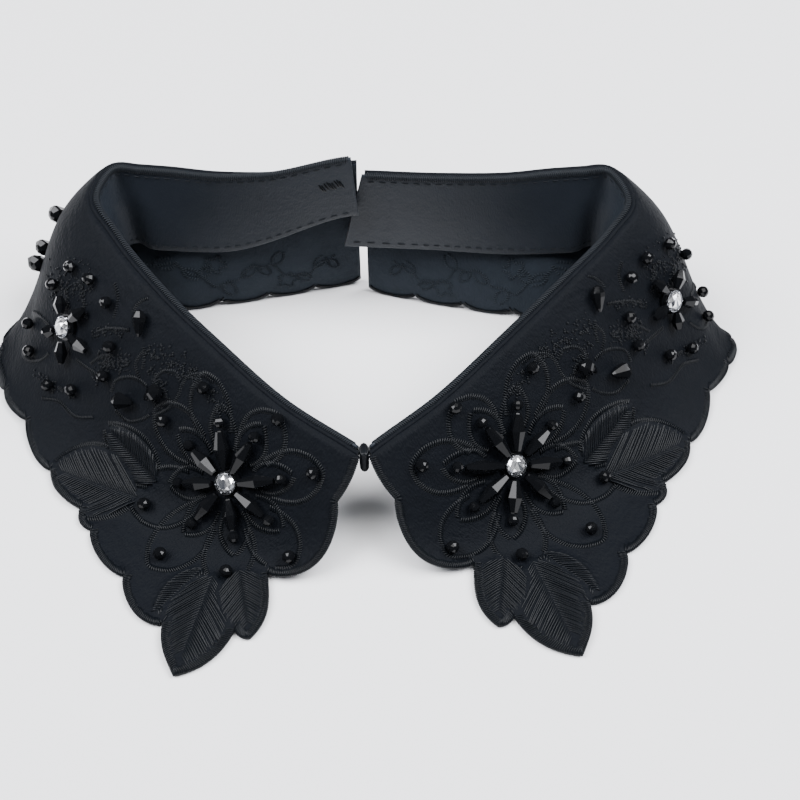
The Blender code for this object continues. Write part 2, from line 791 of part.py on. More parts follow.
def build():
    for obj in list(bpy.data.objects):
        bpy.data.objects.remove(obj, do_unlink=True)
    collection = bpy.data.collections.new(OBJECT)
    bpy.context.scene.collection.children.link(collection)
    satin = material("black_satin", (0.012, 0.014, 0.019), 0.62)
    lining = material("black_band_satin", (0.014, 0.017, 0.023), 0.58)
    thread = material("black_thread", (0.008, 0.009, 0.012), 0.5)
    jet = material("jet_glass", (0.006, 0.006, 0.008), 0.12, 0.5)
    crystal = material("clear_rhinestone", (0.72, 0.74, 0.76), 0.05, 0.5)
    steel = material("hook_steel", (0.35, 0.35, 0.36), 0.3)
    shape = Outline()
    flat = triangulated(shape)
    for side, hand in ((-1, "left"), (1, "right")):
        build_leaf("leaf_" + hand, side, shape, flat, collection, satin)
    for row in BAND_ROWS:
        build_band(row, collection, lining)
    for row in FLOWER_ROWS:
        for side in (-1, 1):
            build_flower(row, side, shape, collection, jet, crystal)
    build_bar(collection, thread)
    build_hook(collection, steel)


build()
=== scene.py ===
"""Looks of a black satin detachable collar with satin-stitch embroidery, jet beads and stones.

Every cloth point has pattern coordinates: the station runs along the neck seam from the centre front
to the centre back, and the drop runs down the leaf from that seam. Tables are in millimetres and
degrees, and what is built is in metres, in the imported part's frame.
"""

import bisect
import math
import random

import bmesh
import bpy
import numpy as np
from mathutils import Matrix, Vector
from mathutils.geometry import delaunay_2d_cdt


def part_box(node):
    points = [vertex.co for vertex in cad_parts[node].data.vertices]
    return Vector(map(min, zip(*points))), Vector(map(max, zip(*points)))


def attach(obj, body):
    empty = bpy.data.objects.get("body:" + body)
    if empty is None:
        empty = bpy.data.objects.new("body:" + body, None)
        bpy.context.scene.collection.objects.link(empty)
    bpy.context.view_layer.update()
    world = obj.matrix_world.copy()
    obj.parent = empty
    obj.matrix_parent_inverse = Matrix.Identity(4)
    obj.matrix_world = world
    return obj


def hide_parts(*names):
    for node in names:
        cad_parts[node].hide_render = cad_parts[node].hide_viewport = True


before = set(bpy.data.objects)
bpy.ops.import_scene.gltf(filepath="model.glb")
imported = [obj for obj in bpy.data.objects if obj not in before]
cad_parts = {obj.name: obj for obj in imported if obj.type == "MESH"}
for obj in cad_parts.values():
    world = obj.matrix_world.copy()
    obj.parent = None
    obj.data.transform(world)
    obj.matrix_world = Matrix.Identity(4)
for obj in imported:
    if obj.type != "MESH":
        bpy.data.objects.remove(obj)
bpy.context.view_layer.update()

bl_info = {
    "name": "Beaded detachable collar",
    "version": (1, 0, 0),
    "blender": (4, 5, 0),
    "location": "View3D > Sidebar > Collar",
    "description": "Builds a satin collar with embroidery, beads and stones",
    "category": "Add Mesh",
}

MM = 0.001
UP = Vector((0.0, 0.0, 1.0))
HANDS = {-1: "left", 1: "right"}

# Pattern of the draped halves
LEAF_WALL = 1.2
LEAF_START = 2.8
LEAF_DROP = 0.2
GRIP = 0.38
SECTION_STEPS = 40
OUTLINE_PITCH = 0.9
GRID_DEPTH = 80.0
THIN_CELL = 3.0
HALF_LENGTH = 193.0
FRONT_SHIFT = 2.5
FRONT_SPREAD = 90.0
FRONT_LINE = 30.0
FRONT_FADE = 50.0
BACK_FADE = 40.0
BACK_TWIST = 0.059
HEM_SPLAY = 2.1
HEM_SPLAY_HEIGHT = 24.0
LEFT_LIFT = 4.0
LEFT_LIFT_REACH = 30.0
LEFT_LIFT_HEIGHT = 54.0
CENTRE_Y = -12.4

SECTION_COLUMNS = (
    "station", "neck_x", "neck_y", "neck_z", "hem_x", "hem_y", "leave", "land",
    "band_height", "band_lean",
)
SECTION_ROWS = (
    (-12.0, -9.5, -41.8, 24.0, 21.5, -74.5, 38.0, 0.0, 4.0, 10.0),
    (0.0, 0.0, -34.7, 26.5, 29.5, -66.0, 38.0, 0.0, 5.0, 10.0),
    (25.0, 20.5, -21.2, 31.5, 51.0, -54.0, 38.0, 0.0, 10.5, 10.0),
    (50.0, 38.9, -5.0, 37.0, 72.0, -38.0, 36.0, 8.0, 16.5, 8.0),
    (75.0, 56.5, 12.0, 42.0, 93.5, -21.5, 34.0, 18.0, 21.5, 6.0),
    (96.0, 70.0, 27.8, 45.5, 106.5, -1.5, 32.0, 25.0, 25.0, 4.0),
    (107.0, 76.4, 38.0, 47.5, 113.0, 10.0, 34.0, 28.0, 26.5, 2.5),
    (114.0, 74.9, 44.5, 48.5, 114.6, 23.0, 38.0, 32.0, 27.0, 3.5),
    (120.0, 72.0, 48.2, 49.3, 105.0, 33.6, 46.0, 38.0, 27.5, 5.5),
    (127.0, 65.6, 47.6, 49.4, 88.0, 40.3, 58.0, 50.0, 28.0, 12.5),
    (137.0, 56.1, 45.6, 50.4, 64.0, 35.3, 68.0, 75.0, 28.5, 11.5),
    (150.0, 43.6, 42.8, 51.3, 46.0, 37.2, 72.0, 85.0, 29.0, 6.4),
    (170.0, 23.8, 41.6, 52.0, 25.0, 41.4, 72.0, 88.0, 29.0, 2.0),
    (193.0, 1.0, 42.6, 52.0, 1.5, 47.4, 72.0, 88.0, 29.0, 1.5),
)

# Cut edge: arcs that bulge outward between corners, then even scallops round to the back
ARC_COLUMNS = ("station", "drop", "bulge", "lean", "fullness")
ARC_ROWS = (
    (-0.2, 0.0, 0.7, 1.0, 0.9),
    (-0.2, 14.0, 7.8, 1.2, 0.65),
    (5.6, 41.6, 2.8, 1.3, 0.8),
    (-4.5, 58.3, 0.9, 1.0, 0.8),
    (0.6, 59.2, 2.9, 1.0, 0.8),
    (3.8, 78.9, 1.5, 1.2, 0.8),
    (17.6, 69.4, 3.9, 0.9, 0.55),
    (36.1, 67.0, 2.9, 1.0, 0.55),
    (52.7, 65.2, 2.1, 1.1, 0.6),
    (59.7, 62.9, 2.3, 1.2, 0.6),
    (75.4, 61.8, 2.6, 0.9, 0.55),
    (92.6, 59.5, 1.6, 1.0, 0.6),
)
LAST_CORNER = (104.6, 61.9)
BACK_LOBES = 9
BACK_DEPTH = 2.2
BACK_FULLNESS = 0.6
LOBE_EASE = 0.35

# Relief of the outer face: satin border, padded leaves with their veins, and soft creases
BORDER_RISE = 0.3
BORDER_FADE = 0.5
PADDING = 0.8
MOTIF_FADE = 0.9
MOTIF_ROUNDNESS = 0.72
VEIN_DEPTH = 0.25
VEIN_FADE = 0.15
CREASE_RISE = 0.22
CREASE_FADE = 14.0

# Padded satin-stitch leaves: base, point, half width, where the widest part lies
MOTIF_COLUMNS = ("base_s", "base_t", "tip_s", "tip_t", "half_width", "blunt")
MOTIF_ROWS = (
    (50.0, 49.5, 76.0, 61.5, 10.4, 1.00),
    (48.0, 42.5, 70.0, 41.0, 6.2, 0.85),
    (12.5, 45.5, -4.3, 58.1, 7.2, 0.85),
    (17.5, 50.5, 3.8, 78.3, 10.0, 1.00),
    (21.0, 51.0, 21.6, 70.4, 4.8, 0.90),
)

# Rope-stitched lobes round the front flower: angle, length, half width
FLOWER_CENTRE = (30.5, 27.3)
LOBE_COLUMNS = ("angle", "reach", "half_width")
LOBE_ROWS = (
    (83.0, 33.5, 7.5),
    (50.0, 33.0, 8.0),
    (125.0, 29.5, 7.2),
    (164.0, 30.5, 7.0),
    (-141.0, 29.0, 7.0),
    (-101.0, 25.5, 6.6),
    (-44.0, 28.5, 6.8),
    (-3.0, 29.5, 7.0),
)
LOBE_START = 12.0
LOBE_ROOT = 5.0
SPEAR_REACH = 20.5
SPEAR_START = 8.0
SPEAR_WIDTH = 4.2

# Rope-stitched scrolls between the flowers and along the back, as pattern points
SCROLL_ROWS = (
    ((46.5, 7.2), (51.0, 7.8), (54.5, 10.5), (55.5, 14.0), (55.2, 18.0), (56.5, 23.0), (60.0, 28.5)),
    ((56.8, 24.5), (60.5, 24.2), (63.5, 20.5), (62.8, 15.5), (58.8, 12.8), (55.8, 14.0)),
    ((70.5, 14.3), (71.2, 19.0), (68.1, 22.3)),
    ((79.2, 22.7), (82.5, 26.0), (85.1, 30.8)),
    ((87.3, 21.7), (83.7, 17.5), (76.5, 12.6)),
    ((71.5, 35.4), (66.4, 35.0), (62.6, 31.6), (60.4, 27.6)),
    ((74.6, 32.3), (75.0, 28.4), (72.3, 24.8), (68.8, 22.6), (64.6, 22.2)),
    ((79.4, 9.0), (79.2, 6.4), (78.4, 4.2), (76.8, 2.2)),
    ((90.0, 33.4), (85.6, 32.4), (81.3, 31.4), (76.5, 29.9)),
    ((108.0, 51.8), (104.4, 48.9), (101.4, 45.2), (99.3, 40.3)),
    ((109.0, 42.0), (106.6, 37.4), (102.4, 34.6)),
    ((71.2, 13.2), (69.4, 16.4), (68.3, 19.7)),
    ((89.0, 6.8), (85.4, 9.3), (83.6, 14.6)),
    ((76.0, 42.0), (82.0, 46.5), (89.0, 47.5), (95.0, 52.0)),
)
BACK_SCROLL_START = 128.0
BACK_SCROLL_END = 187.0
BACK_SCROLL_WAVE = 24.0
BACK_SCROLL_DROP = 40.5
BACK_LEAF_ROWS = (
    (130.0, 60.0, 6.0), (134.5, -50.0, 6.5), (140.0, 35.0, 6.0), (145.0, -70.0, 5.5),
    (151.0, 65.0, 6.5), (156.0, -35.0, 6.0), (161.5, 50.0, 5.5), (166.0, -60.0, 6.5),
    (173.0, 40.0, 6.0), (178.5, -50.0, 6.0), (183.0, 55.0, 5.0),
)
BACK_FLOWER_SPOTS = ((148.5, 36.0), (170.0, 45.0))

# Stitches: (place across the line, height) of a rope stitch, and how deep a stitch's ends go in
ROPE_PROFILE = ((-0.5, -0.14), (-0.25, 0.12), (0.0, 0.2), (0.25, 0.12), (0.5, -0.14))
STITCH_DIP = -0.14
MOTIF_MARGIN = 1.2
ROPE_MARGIN = 2.2
TABLE_CLEARANCE = 0.00032
TOPSTITCH_INSET = 2.2
TOPSTITCH_SPACE = 0.9
TOPSTITCH_LIFTS = (0.25, -0.12, -0.16, -0.12, 0.25)
# (fall, depth) of an overcast stitch over the band's top edge
OVERCAST_WRAP = ((1.2, -0.08), (0.5, -0.12), (-0.04, 0.1), (-0.16, 0.6), (-0.04, 1.15), (0.35, 1.36))
OVERCAST_PITCH = 0.62
OVERCAST_SLANT = 0.16
# Roll of the neck seam: radius in metres, how far it lies outside the seam and below it
ROLL_RADIUS = 0.00082
ROLL_OUT = 2.0
ROLL_DROP = 0.72
BAR_TURNS = 13
HOOK_STATION = 181.5
HOOK_FALL = 9.4

# Round beads sewn singly round the front flower and round the shoulder flower
SINGLE_BEADS = (
    (34.0, 56.4), (48.0, 49.5), (15.4, 48.2), (3.3, 34.3), (10.2, 10.2), (24.9, 2.9), (48.2, 9.9),
    (55.7, 26.1),
)
SHOULDER_BEADS = (
    (102.4, 14.8), (104.8, 23.8), (95.2, 11.9), (87.3, 12.1), (80.2, 20.6), (78.3, 29.2),
    (86.0, 40.6), (93.8, 46.3), (104.8, 46.2), (107.9, 42.6),
)
# Drop beads: station, drop, length, radius, heading of the narrow end
DROP_ROWS = (
    (74.6, 9.2, 7.6, 2.1, 120.0),
    (69.2, 30.2, 6.4, 2.6, -150.0),
    (61.6, 21.6, 6.4, 2.6, 60.0),
    (118.6, 24.0, 6.2, 2.9, 20.0),
    (117.6, 34.4, 5.6, 2.7, 20.0),
    (116.9, 38.4, 5.8, 2.9, 10.0),
)
# Fields of knots: both ends of the middle line, half width, count
DUST_ROWS = (
    (50.0, 9.5, 70.0, 13.5, 3.6, 170),
    (95.5, 12.0, 107.0, 28.0, 4.5, 150),
    (40.0, 12.0, 46.5, 9.5, 2.6, 50),
    (103.5, 20.5, 99.5, 26.0, 1.8, 50),
    (97.5, 16.5, 92.0, 22.0, 1.8, 50),
    (88.5, 23.0, 79.0, 15.0, 1.6, 60),
    (83.0, 27.0, 72.5, 20.5, 3.2, 150),
    (101.5, 49.5, 85.0, 41.9, 1.8, 80),
    (66.5, 17.4, 57.0, 20.5, 2.0, 70),
    (77.5, 24.0, 82.0, 33.0, 2.2, 70),
)

# Inner bands: how far each runs at its top and bottom edge, and how its end steps in and lifts
BAND_COLUMNS = ("name", "side", "end_top", "end_bottom", "step", "lift_top", "lift_bottom")
BAND_ROWS = (
    ("band_left", -1, 191.2, 192.7, 1.8, 4.1, 12.8),
    ("band_right", 1, 193.8, 200.0, 0.0, 0.0, 0.0),
)
BAND_FRONT = 1.7
BAND_END_REACH = 18.0
BAND_LIFT_REACH = 45.0
BAND_PROFILE_ROWS = 15
# Below the seam the band rounds the shoulder's corner more easily than the seam does
SHOULDER_STATION = 118.0
BAND_EASE_REACH = 34.0
BAND_EASE_RATE = 2.2
BAND_EASE_STEPS = ((-9.0, 0.14), (-5.0, 0.22), (0.0, 0.28), (5.0, 0.22), (9.0, 0.14))

STONES = (
    ("front_stone", 30.5, 27.3),
    ("shoulder_stone", 96.2, 28.8),
)

# Long bead petals: angle, distance of the inner end, distance of the outer end, radius
PETAL_ROWS = {
    "front_flower": (
        (40.0, 4.2, 14.2, 2.1), (-3.5, 4.2, 12.5, 2.1), (-55.0, 4.2, 13.7, 2.1),
        (-96.0, 4.2, 14.4, 2.2), (-140.0, 4.2, 14.7, 2.1), (174.0, 4.2, 13.3, 2.1),
        (129.6, 4.2, 13.1, 2.2), (81.3, 4.2, 14.6, 2.1),
    ),
    "shoulder_flower": (
        (-44.0, 4.0, 7.6, 2.0), (-111.0, 4.6, 10.6, 2.1), (-171.0, 4.2, 9.6, 2.0),
        (114.0, 4.0, 9.2, 2.0), (51.6, 4.4, 10.0, 2.0),
    ),
}
PETAL_PROFILE = ((0.0, 0.0), (0.46, 0.0), (0.52, 0.04), (1.0, 0.52), (0.48, 0.97), (0.40, 1.0),
                 (0.0, 1.0))
# Shares of a round bead's and a drop bead's radius, and sizes in metres of a knot and a claw
BEAD_PROFILE = ((0.0, -0.90), (0.30, -0.90), (0.72, -0.66), (0.98, -0.22), (0.98, 0.22), (0.72, 0.66),
                (0.30, 0.90), (0.0, 0.90))
DROP_PROFILE = ((0.0, 0.0), (0.55, 0.06), (1.0, 0.28), (0.92, 0.45), (0.42, 0.88), (0.2, 1.0),
                (0.0, 1.0))
KNOT_PROFILE = ((0.0, -0.0001), (0.00034, 0.0), (0.00026, 0.00022), (0.0, 0.0003))
CLAW_PROFILE = ((0.0, 0.0), (0.00034, 0.0), (0.00034, 0.0008), (0.00020, 0.0011), (0.0, 0.00115))
# Rings of a cut stone: share of the radius, height, corners, turn in corners
STONE_RINGS = ((0.50, 0.46, 8, 0.0), (0.80, 0.27, 8, 0.5), (1.0, 0.0, 16, 0.25), (0.98, -0.12, 16, 0.25))
TIP_RADIUS = 1.65
TIP_GAP = 2.0
FLOWER_LIFT = 0.45
CUP_HEIGHT = 0.0021
CLAWS = 6

# Sewn by hand, the beads and stones sit a little nearer the back on the right half
HAND_SHIFT = 0.5
HAND_SLOPE = 0.016

# Stage: where the camera looks, and lamps with place, size in metres, watts and colour
VIEW_TARGET = (0.009, 0.0124, 0.0)
TABLE_HALF = 3.0
LAMP_ROWS = (
    ("left_softbox", (-0.80, 0.05, 1.10), 0.85, 36.0, "#fafbff"),
    ("right_softbox", (0.80, 0.05, 1.10), 0.85, 40.0, "#fafbff"),
    ("overhead", (0.0, 0.0, 1.50), 0.60, 8.0, "#ffffff"),
)


def linear(code):
    """Linear colour of an sRGB hex value."""
    parts = [int(code[i:i + 2], 16) / 255.0 for i in (1, 3, 5)]
    return tuple(p / 12.92 if p <= 0.04045 else ((p + 0.055) / 1.055)**2.4 for p in parts)


def size_setting(name, description, default):
    return bpy.props.FloatProperty(name=name, description=description, default=default, unit="LENGTH")


def colour_setting(name, description, code):
    return bpy.props.FloatVectorProperty(name=name, description=description, subtype="COLOR", size=3,
                                         default=linear(code), min=0.0, max=1.0)


class ClothSettings(bpy.types.PropertyGroup):
    """Sizes and colours of the cloth."""
    leaf_wall: size_setting("Leaf thickness", "Outer cloth, interlining and backing of a leaf", 0.0012)
    band_wall: size_setting("Band thickness", "Thickness of the inner band", 0.0012)
    border_width: size_setting("Border width", "Width of the satin-stitched edge", 0.0016)
    motif_rise: size_setting("Padding height", "Height of the padded leaves", 0.0008)
    cloth_pitch: size_setting("Cloth pitch", "Spacing of the cloth's points", 0.0015)
    satin: colour_setting("Satin", "Colour of the leaves' outer cloth", "#080b10")
    backing: colour_setting("Backing", "Colour of the leaves' inner side", "#21272e")
    # Band colour: lighter than the leaves' satin, partly for the pressed face and partly as painted light
    # for the light on the bands' front-facing inner side.
    band: colour_setting("Band satin", "Colour of the inner bands", "#1f242b")


class ThreadSettings(bpy.types.PropertyGroup):
    """Sizes and colours of the threads."""
    radius: size_setting("Thread radius", "Radius of one satin stitch", 0.00028)
    pitch: size_setting("Stitch pitch", "Distance between satin stitches", 0.00070)
    rope_width: size_setting("Rope width", "Width of the rope-stitched lines", 0.0014)
    seam_stitch: size_setting("Seam stitch", "Length of one topstitch", 0.0023)
    seam_radius: size_setting("Seam thread radius", "Radius of the topstitching thread", 0.00014)
    colour: colour_setting("Thread", "Colour of the embroidery thread", "#090c10")
    sewing: colour_setting("Sewing thread", "Colour of the seams' thread", "#15191e")
    lining: colour_setting("Lining thread", "Colour of the thread on the inner side", "#22282e")


class BeadSettings(bpy.types.PropertyGroup):
    """Sizes and colours of the beads and stones."""
    bead_radius: size_setting("Bead radius", "Radius of a round faceted bead", 0.00185)
    stone_radius: size_setting("Stone radius", "Radius of a stone at its girdle", 0.0029)
    cup_radius: size_setting("Cup radius", "Outer radius of a claw cup", 0.0032)
    seed: bpy.props.IntProperty(
        name="Seed", description="Fixed seed for turned beads and scattered knots", default=7)
    jet: colour_setting("Jet glass", "Colour of the beads", "#0a0b0d")
    cup: colour_setting("Claw cup", "Colour of the stones' metal cups", "#8d8f93")
    hook: colour_setting("Hook", "Colour of the back hook", "#3a3b3e")


class StageSettings(bpy.types.PropertyGroup):
    """Camera, floor and light."""
    elevation: bpy.props.FloatProperty(
        name="Elevation", description="Camera angle above the table", default=math.radians(54.0),
        subtype="ANGLE")
    azimuth: bpy.props.FloatProperty(
        name="Azimuth", description="Camera angle round the collar", default=math.radians(-3.0),
        subtype="ANGLE")
    distance: size_setting("Distance", "Camera distance from its target", 0.352)
    lens: bpy.props.FloatProperty(
        name="Lens", description="Focal length for a 36 mm sensor", default=52.2)
    floor: colour_setting("Table", "Colour of the table top", "#f5f5f6")


# ---------------------------------------------------------------- pattern and drape

def smooth(w):
    w = min(max(w, 0.0), 1.0)
    return w * w * (3.0 - 2.0 * w)


def eased(u):
    """Share along an arc, with the points drawn in towards its corners."""
    return u - LOBE_EASE * math.sin(2.0 * math.pi * u) / (2.0 * math.pi)


def run_lengths(points):
    """Distance along a polyline at each of its points."""
    lengths = [0.0]
    for a, b in zip(points[:-1], points[1:]):
        lengths.append(lengths[-1] + (b - a).length)
    return lengths


def turned_spot(centre, angle, along, off):
    """Pattern point a distance along a direction from a centre, and off to its side."""
    return (centre[0] + along * math.cos(angle) - off * math.sin(angle),
            centre[1] + along * math.sin(angle) + off * math.cos(angle))


def row_dict(columns, row):
    return dict(zip(columns, row))


def column_value(name, at):
    """Value of a section column at a station, on a smooth line through the rows."""
    col = SECTION_COLUMNS.index(name)
    xs = [row[0] for row in SECTION_ROWS]
    ys = [row[col] for row in SECTION_ROWS]
    slopes = [(ys[i + 1] - ys[i]) / (xs[i + 1] - xs[i]) for i in range(len(xs) - 1)]
    if at <= xs[0]:
        return ys[0] + slopes[0] * (at - xs[0])
    if at >= xs[-1]:
        return ys[-1] + slopes[-1] * (at - xs[-1])
    i = bisect.bisect_left(xs, at) - 1

    def tangent(k):
        if k in (0, len(xs) - 1):
            return slopes[max(k - 1, 0)]
        before = xs[k] - xs[k - 1]
        after = xs[k + 1] - xs[k]
        return (slopes[k - 1] * after + slopes[k] * before) / (before + after)

    span = xs[i + 1] - xs[i]
    u = (at - xs[i]) / span
    value = (2 * u**3 - 3 * u**2 + 1) * ys[i]
    value += (u**3 - 2 * u**2 + u) * span * tangent(i)
    value += (3 * u**2 - 2 * u**3) * ys[i + 1]
    value += (u**3 - u**2) * span * tangent(i + 1)
    return value


def neck_point(s):
    return Vector((column_value("neck_x", s), column_value("neck_y", s), column_value("neck_z", s)))


def outward(s):
    """Horizontal direction away from the neck at a station."""
    run = neck_point(s + 0.5) - neck_point(s - 0.5)
    return Vector((run.y, -run.x, 0.0)).normalized()


SECTION_CACHE = {}


def section(s):
    """Polyline of a leaf's outer face at a station, its lengths and its landing direction."""
    key = round(s, 1)
    if key in SECTION_CACHE:
        return SECTION_CACHE[key]
    out = outward(key)
    leave = math.radians(column_value("leave", key))
    land = math.radians(column_value("land", key))
    start = neck_point(key) + LEAF_START * out - LEAF_DROP * UP
    hem = Vector((column_value("hem_x", key), column_value("hem_y", key), LEAF_WALL * math.cos(land)))
    run = Vector((hem.x - start.x, hem.y - start.y, 0.0)).normalized()
    reach = GRIP * (hem - start).length
    first = start + reach * (out * math.cos(leave) - UP * math.sin(leave))
    second = hem - reach * (run * math.cos(land) - UP * math.sin(land))
    points = []
    for step in range(SECTION_STEPS + 1):
        v = step / SECTION_STEPS
        w = 1.0 - v
        points.append(w**3 * start + 3 * w * w * v * first + 3 * w * v * v * second + v**3 * hem)
    SECTION_CACHE[key] = (points, run_lengths(points), run)
    return SECTION_CACHE[key]


def hem_drop(s):
    return section(s)[1][-1]


def section_point(s, t):
    points, lengths, run = section(s)
    if t >= lengths[-1]:
        return points[-1] + (t - lengths[-1]) * run
    if t <= 0.0:
        return points[0] + t * (points[1] - points[0]).normalized()
    i = bisect.bisect_right(lengths, t) - 1
    u = (t - lengths[i]) / (lengths[i + 1] - lengths[i])
    return points[i].lerp(points[i + 1], u)


def drape(s, t):
    """Point of the right leaf's outer face, between the two nearest half-millimetre sections."""
    s = float(s)
    t = float(t)
    low = math.floor(s * 2.0) / 2.0
    u = (s - low) * 2.0
    if u < 1e-6:
        return section_point(low, t)
    return section_point(low, t).lerp(section_point(low + 0.5, t), u)


def stretch(s, t):
    return max((drape(s + 0.5, t) - drape(s - 0.5, t)).length, 0.5)


def face_normal(s, t):
    across = drape(s + 0.5, t) - drape(s - 0.5, t)
    along = drape(s, t + 0.5) - drape(s, t - 0.5)
    return along.cross(across).normalized()


def placed(point, side):
    """Position in metres of a point in millimetres on the right (1) or the left half (-1)."""
    x = side * point.x
    y = point.y
    z = point.z
    back = smooth(y / BACK_FADE)
    shift = smooth((FRONT_LINE - y) / FRONT_FADE) * smooth(1.0 - abs(x) / FRONT_SPREAD)
    y -= back * (BACK_TWIST * x + side * HEM_SPLAY * max(1.0 - z / HEM_SPLAY_HEIGHT, 0.0))
    if side < 0:
        z += LEFT_LIFT * back * smooth(1.0 - abs(x) / LEFT_LIFT_REACH) * z / LEFT_LIFT_HEIGHT
    return Vector((x - FRONT_SHIFT * shift, y - CENTRE_Y, z)) * MM


def sewn(s, t, side):
    """Pattern point of a bead or a line as it lies on one hand's leaf."""
    return s + side * (HAND_SHIFT + HAND_SLOPE * s), t


def arc_between(a, b, bulge, lean, fullness, pitch):
    """Pattern points from corner a to just before corner b."""
    chord = math.hypot(b[0] - a[0], b[1] - a[1])
    across = ((a[1] - b[1]) / chord, (b[0] - a[0]) / chord)
    steps = max(4, round((chord + 2.0 * bulge) / pitch))
    points = []
    for k in range(steps):
        u = eased(k / steps)
        rise = bulge * max(math.sin(math.pi * u**lean), 0.0)**fullness
        points.append((a[0] + (b[0] - a[0]) * u + across[0] * rise,
                       a[1] + (b[1] - a[1]) * u + across[1] * rise))
    return points


def back_edge(per_lobe):
    """Even scallops from the shoulder to the centre back, measured along the hem."""
    stations = np.linspace(LAST_CORNER[0], HALF_LENGTH, 200)
    hems = np.array([drape(s, hem_drop(s))[:] for s in stations])
    lengths = np.concatenate([[0.0], np.cumsum(np.linalg.norm(np.diff(hems, axis=0), axis=1))])
    lobe = lengths[-1] / BACK_LOBES
    points = []
    for k in range(BACK_LOBES * per_lobe + 1):
        u = eased((k % per_lobe) / per_lobe)
        s = float(np.interp((k // per_lobe + u) * lobe, lengths, stations))
        rise = max(math.sin(math.pi * u), 0.0)**BACK_FULLNESS
        points.append((s, hem_drop(s) - BACK_DEPTH * (1.0 - rise)))
    return points


def edge_points(pitch):
    """Pattern points along the scalloped edge from the centre front to the centre back."""
    arcs = [row_dict(ARC_COLUMNS, row) for row in ARC_ROWS]
    corners = [(arc["station"], arc["drop"]) for arc in arcs] + [LAST_CORNER]
    points = []
    for arc, a, b in zip(arcs, corners[:-1], corners[1:]):
        points += arc_between(a, b, arc["bulge"], arc["lean"], arc["fullness"], pitch)
    return points + back_edge(max(6, round(15.0 / pitch)))


class Pattern:
    """A leaf's flat outline, with distances and inside tests."""

    def __init__(self, pitch):
        edge = edge_points(pitch)
        points = list(edge)
        foot = hem_drop(HALF_LENGTH) - BACK_DEPTH
        count = round(foot / (1.3 * pitch))
        for k in range(1, count):
            points.append((HALF_LENGTH, foot * (1.0 - k / count)))
        s = HALF_LENGTH
        while s > edge[0][0] + pitch:
            points.append((s, 0.0))
            s -= 1.4 * pitch
        self.points = np.array(points)
        self.edge = self.points[:len(edge)]

    def edge_distance(self, s, t):
        a = self.edge[:-1]
        d = self.edge[1:] - a
        p = np.array((s, t)) - a
        u = np.clip((p * d).sum(1) / (d * d).sum(1), 0.0, 1.0)
        return float(np.linalg.norm(p - d * u[:, None], axis=1).min())

    def holds(self, s, t):
        a = self.points
        b = np.roll(a, -1, axis=0)
        level = (a[:, 1] > t) != (b[:, 1] > t)
        rise = b[:, 1] - a[:, 1]
        rise = np.where(np.abs(rise) < 1e-9, 1e-9, rise)
        cross = a[:, 0] + (t - a[:, 1]) / rise * (b[:, 0] - a[:, 0])
        return bool((level & (s < cross)).sum() % 2)


def motif_frame(motif):
    ds = motif["tip_s"] - motif["base_s"]
    dt = motif["tip_t"] - motif["base_t"]
    length = math.hypot(ds, dt)
    return length, (ds / length, dt / length)


def motif_width(motif, u):
    if u <= 0.0 or u >= 1.0:
        return 0.0
    return motif["half_width"] * math.sin(math.pi * u**motif["blunt"])**MOTIF_ROUNDNESS


def motif_spot(motif, u, off):
    """Pattern point at a fraction of a padded leaf's length and a distance from its vein."""
    length, axis = motif_frame(motif)
    return (motif["base_s"] + u * length * axis[0] + off * axis[1],
            motif["base_t"] + u * length * axis[1] - off * axis[0])


def motif_height(motif, s, t, rise):
    length, axis = motif_frame(motif)
    ps = s - motif["base_s"]
    pt = t - motif["base_t"]
    u = (ps * axis[0] + pt * axis[1]) / length
    off = abs(ps * axis[1] - pt * axis[0])
    inside = motif_width(motif, u) - off
    if inside <= 0.0:
        return 0.0
    groove = VEIN_DEPTH * (1.0 - smooth(off / MOTIF_FADE)) * smooth((1.0 - u) / VEIN_FADE)
    return max(rise * smooth(inside / MOTIF_FADE) - groove, 0.0)


MOTIFS = [row_dict(MOTIF_COLUMNS, row) for row in MOTIF_ROWS]


def motif_at(s, t):
    """Index of the padded leaf that lies on top at a pattern point, or None."""
    for index, motif in enumerate(MOTIFS):
        if motif_height(motif, s, t, PADDING) > 0.0:
            return index
    return None


class Surface:
    """Outer face of the leaves with its relief and its soft creases."""

    def __init__(self, settings):
        self.pattern = Pattern(OUTLINE_PITCH)
        self.border = settings.border_width / MM
        self.rise = settings.motif_rise / MM

    def relief(self, s, t):
        away = self.pattern.edge_distance(s, t)
        border = BORDER_RISE * (1.0 - smooth((away - self.border) / BORDER_FADE))
        return max([border] + [motif_height(motif, s, t, self.rise) for motif in MOTIFS])

    def crease(self, s, t):
        """Soft waves of worn cloth, kept off the seam and the flat points."""
        fade = smooth((t - 4.0) / CREASE_FADE) * smooth((hem_drop(s) + 2.0 - t) / CREASE_FADE)
        wave = math.sin(0.11 * s + 0.07 * t) + 0.7 * math.sin(0.19 * s - 0.11 * t + 1.3)
        return CREASE_RISE * wave * fade

    def point(self, s, t, side, height=0.0):
        """Point in metres a height in millimetres above the stitched face."""
        lift = self.relief(s, t) + self.crease(s, t) + height
        return placed(drape(s, t) + face_normal(s, t) * lift, side)

    def inner_point(self, s, t, side, depth):
        return placed(drape(s, t) + face_normal(s, t) * (self.crease(s, t) - depth), side)

    def up(self, s, t, side):
        across = placed(drape(s + 0.6, t), side) - placed(drape(s - 0.6, t), side)
        along = placed(drape(s, t + 0.6), side) - placed(drape(s, t - 0.6), side)
        return (side * along.cross(across)).normalized()

    def clear(self, s, t, margin):
        """Whether a pattern point lies on the leaf, a margin or more from its cut edge."""
        return self.pattern.holds(s, t) and self.pattern.edge_distance(s, t) >= margin


SURFACES = {}


def leaf_surface():
    if "leaf" not in SURFACES:
        SURFACES["leaf"] = Surface(bpy.context.scene.collar_cloth)
    return SURFACES["leaf"]


# ---------------------------------------------------------------- materials

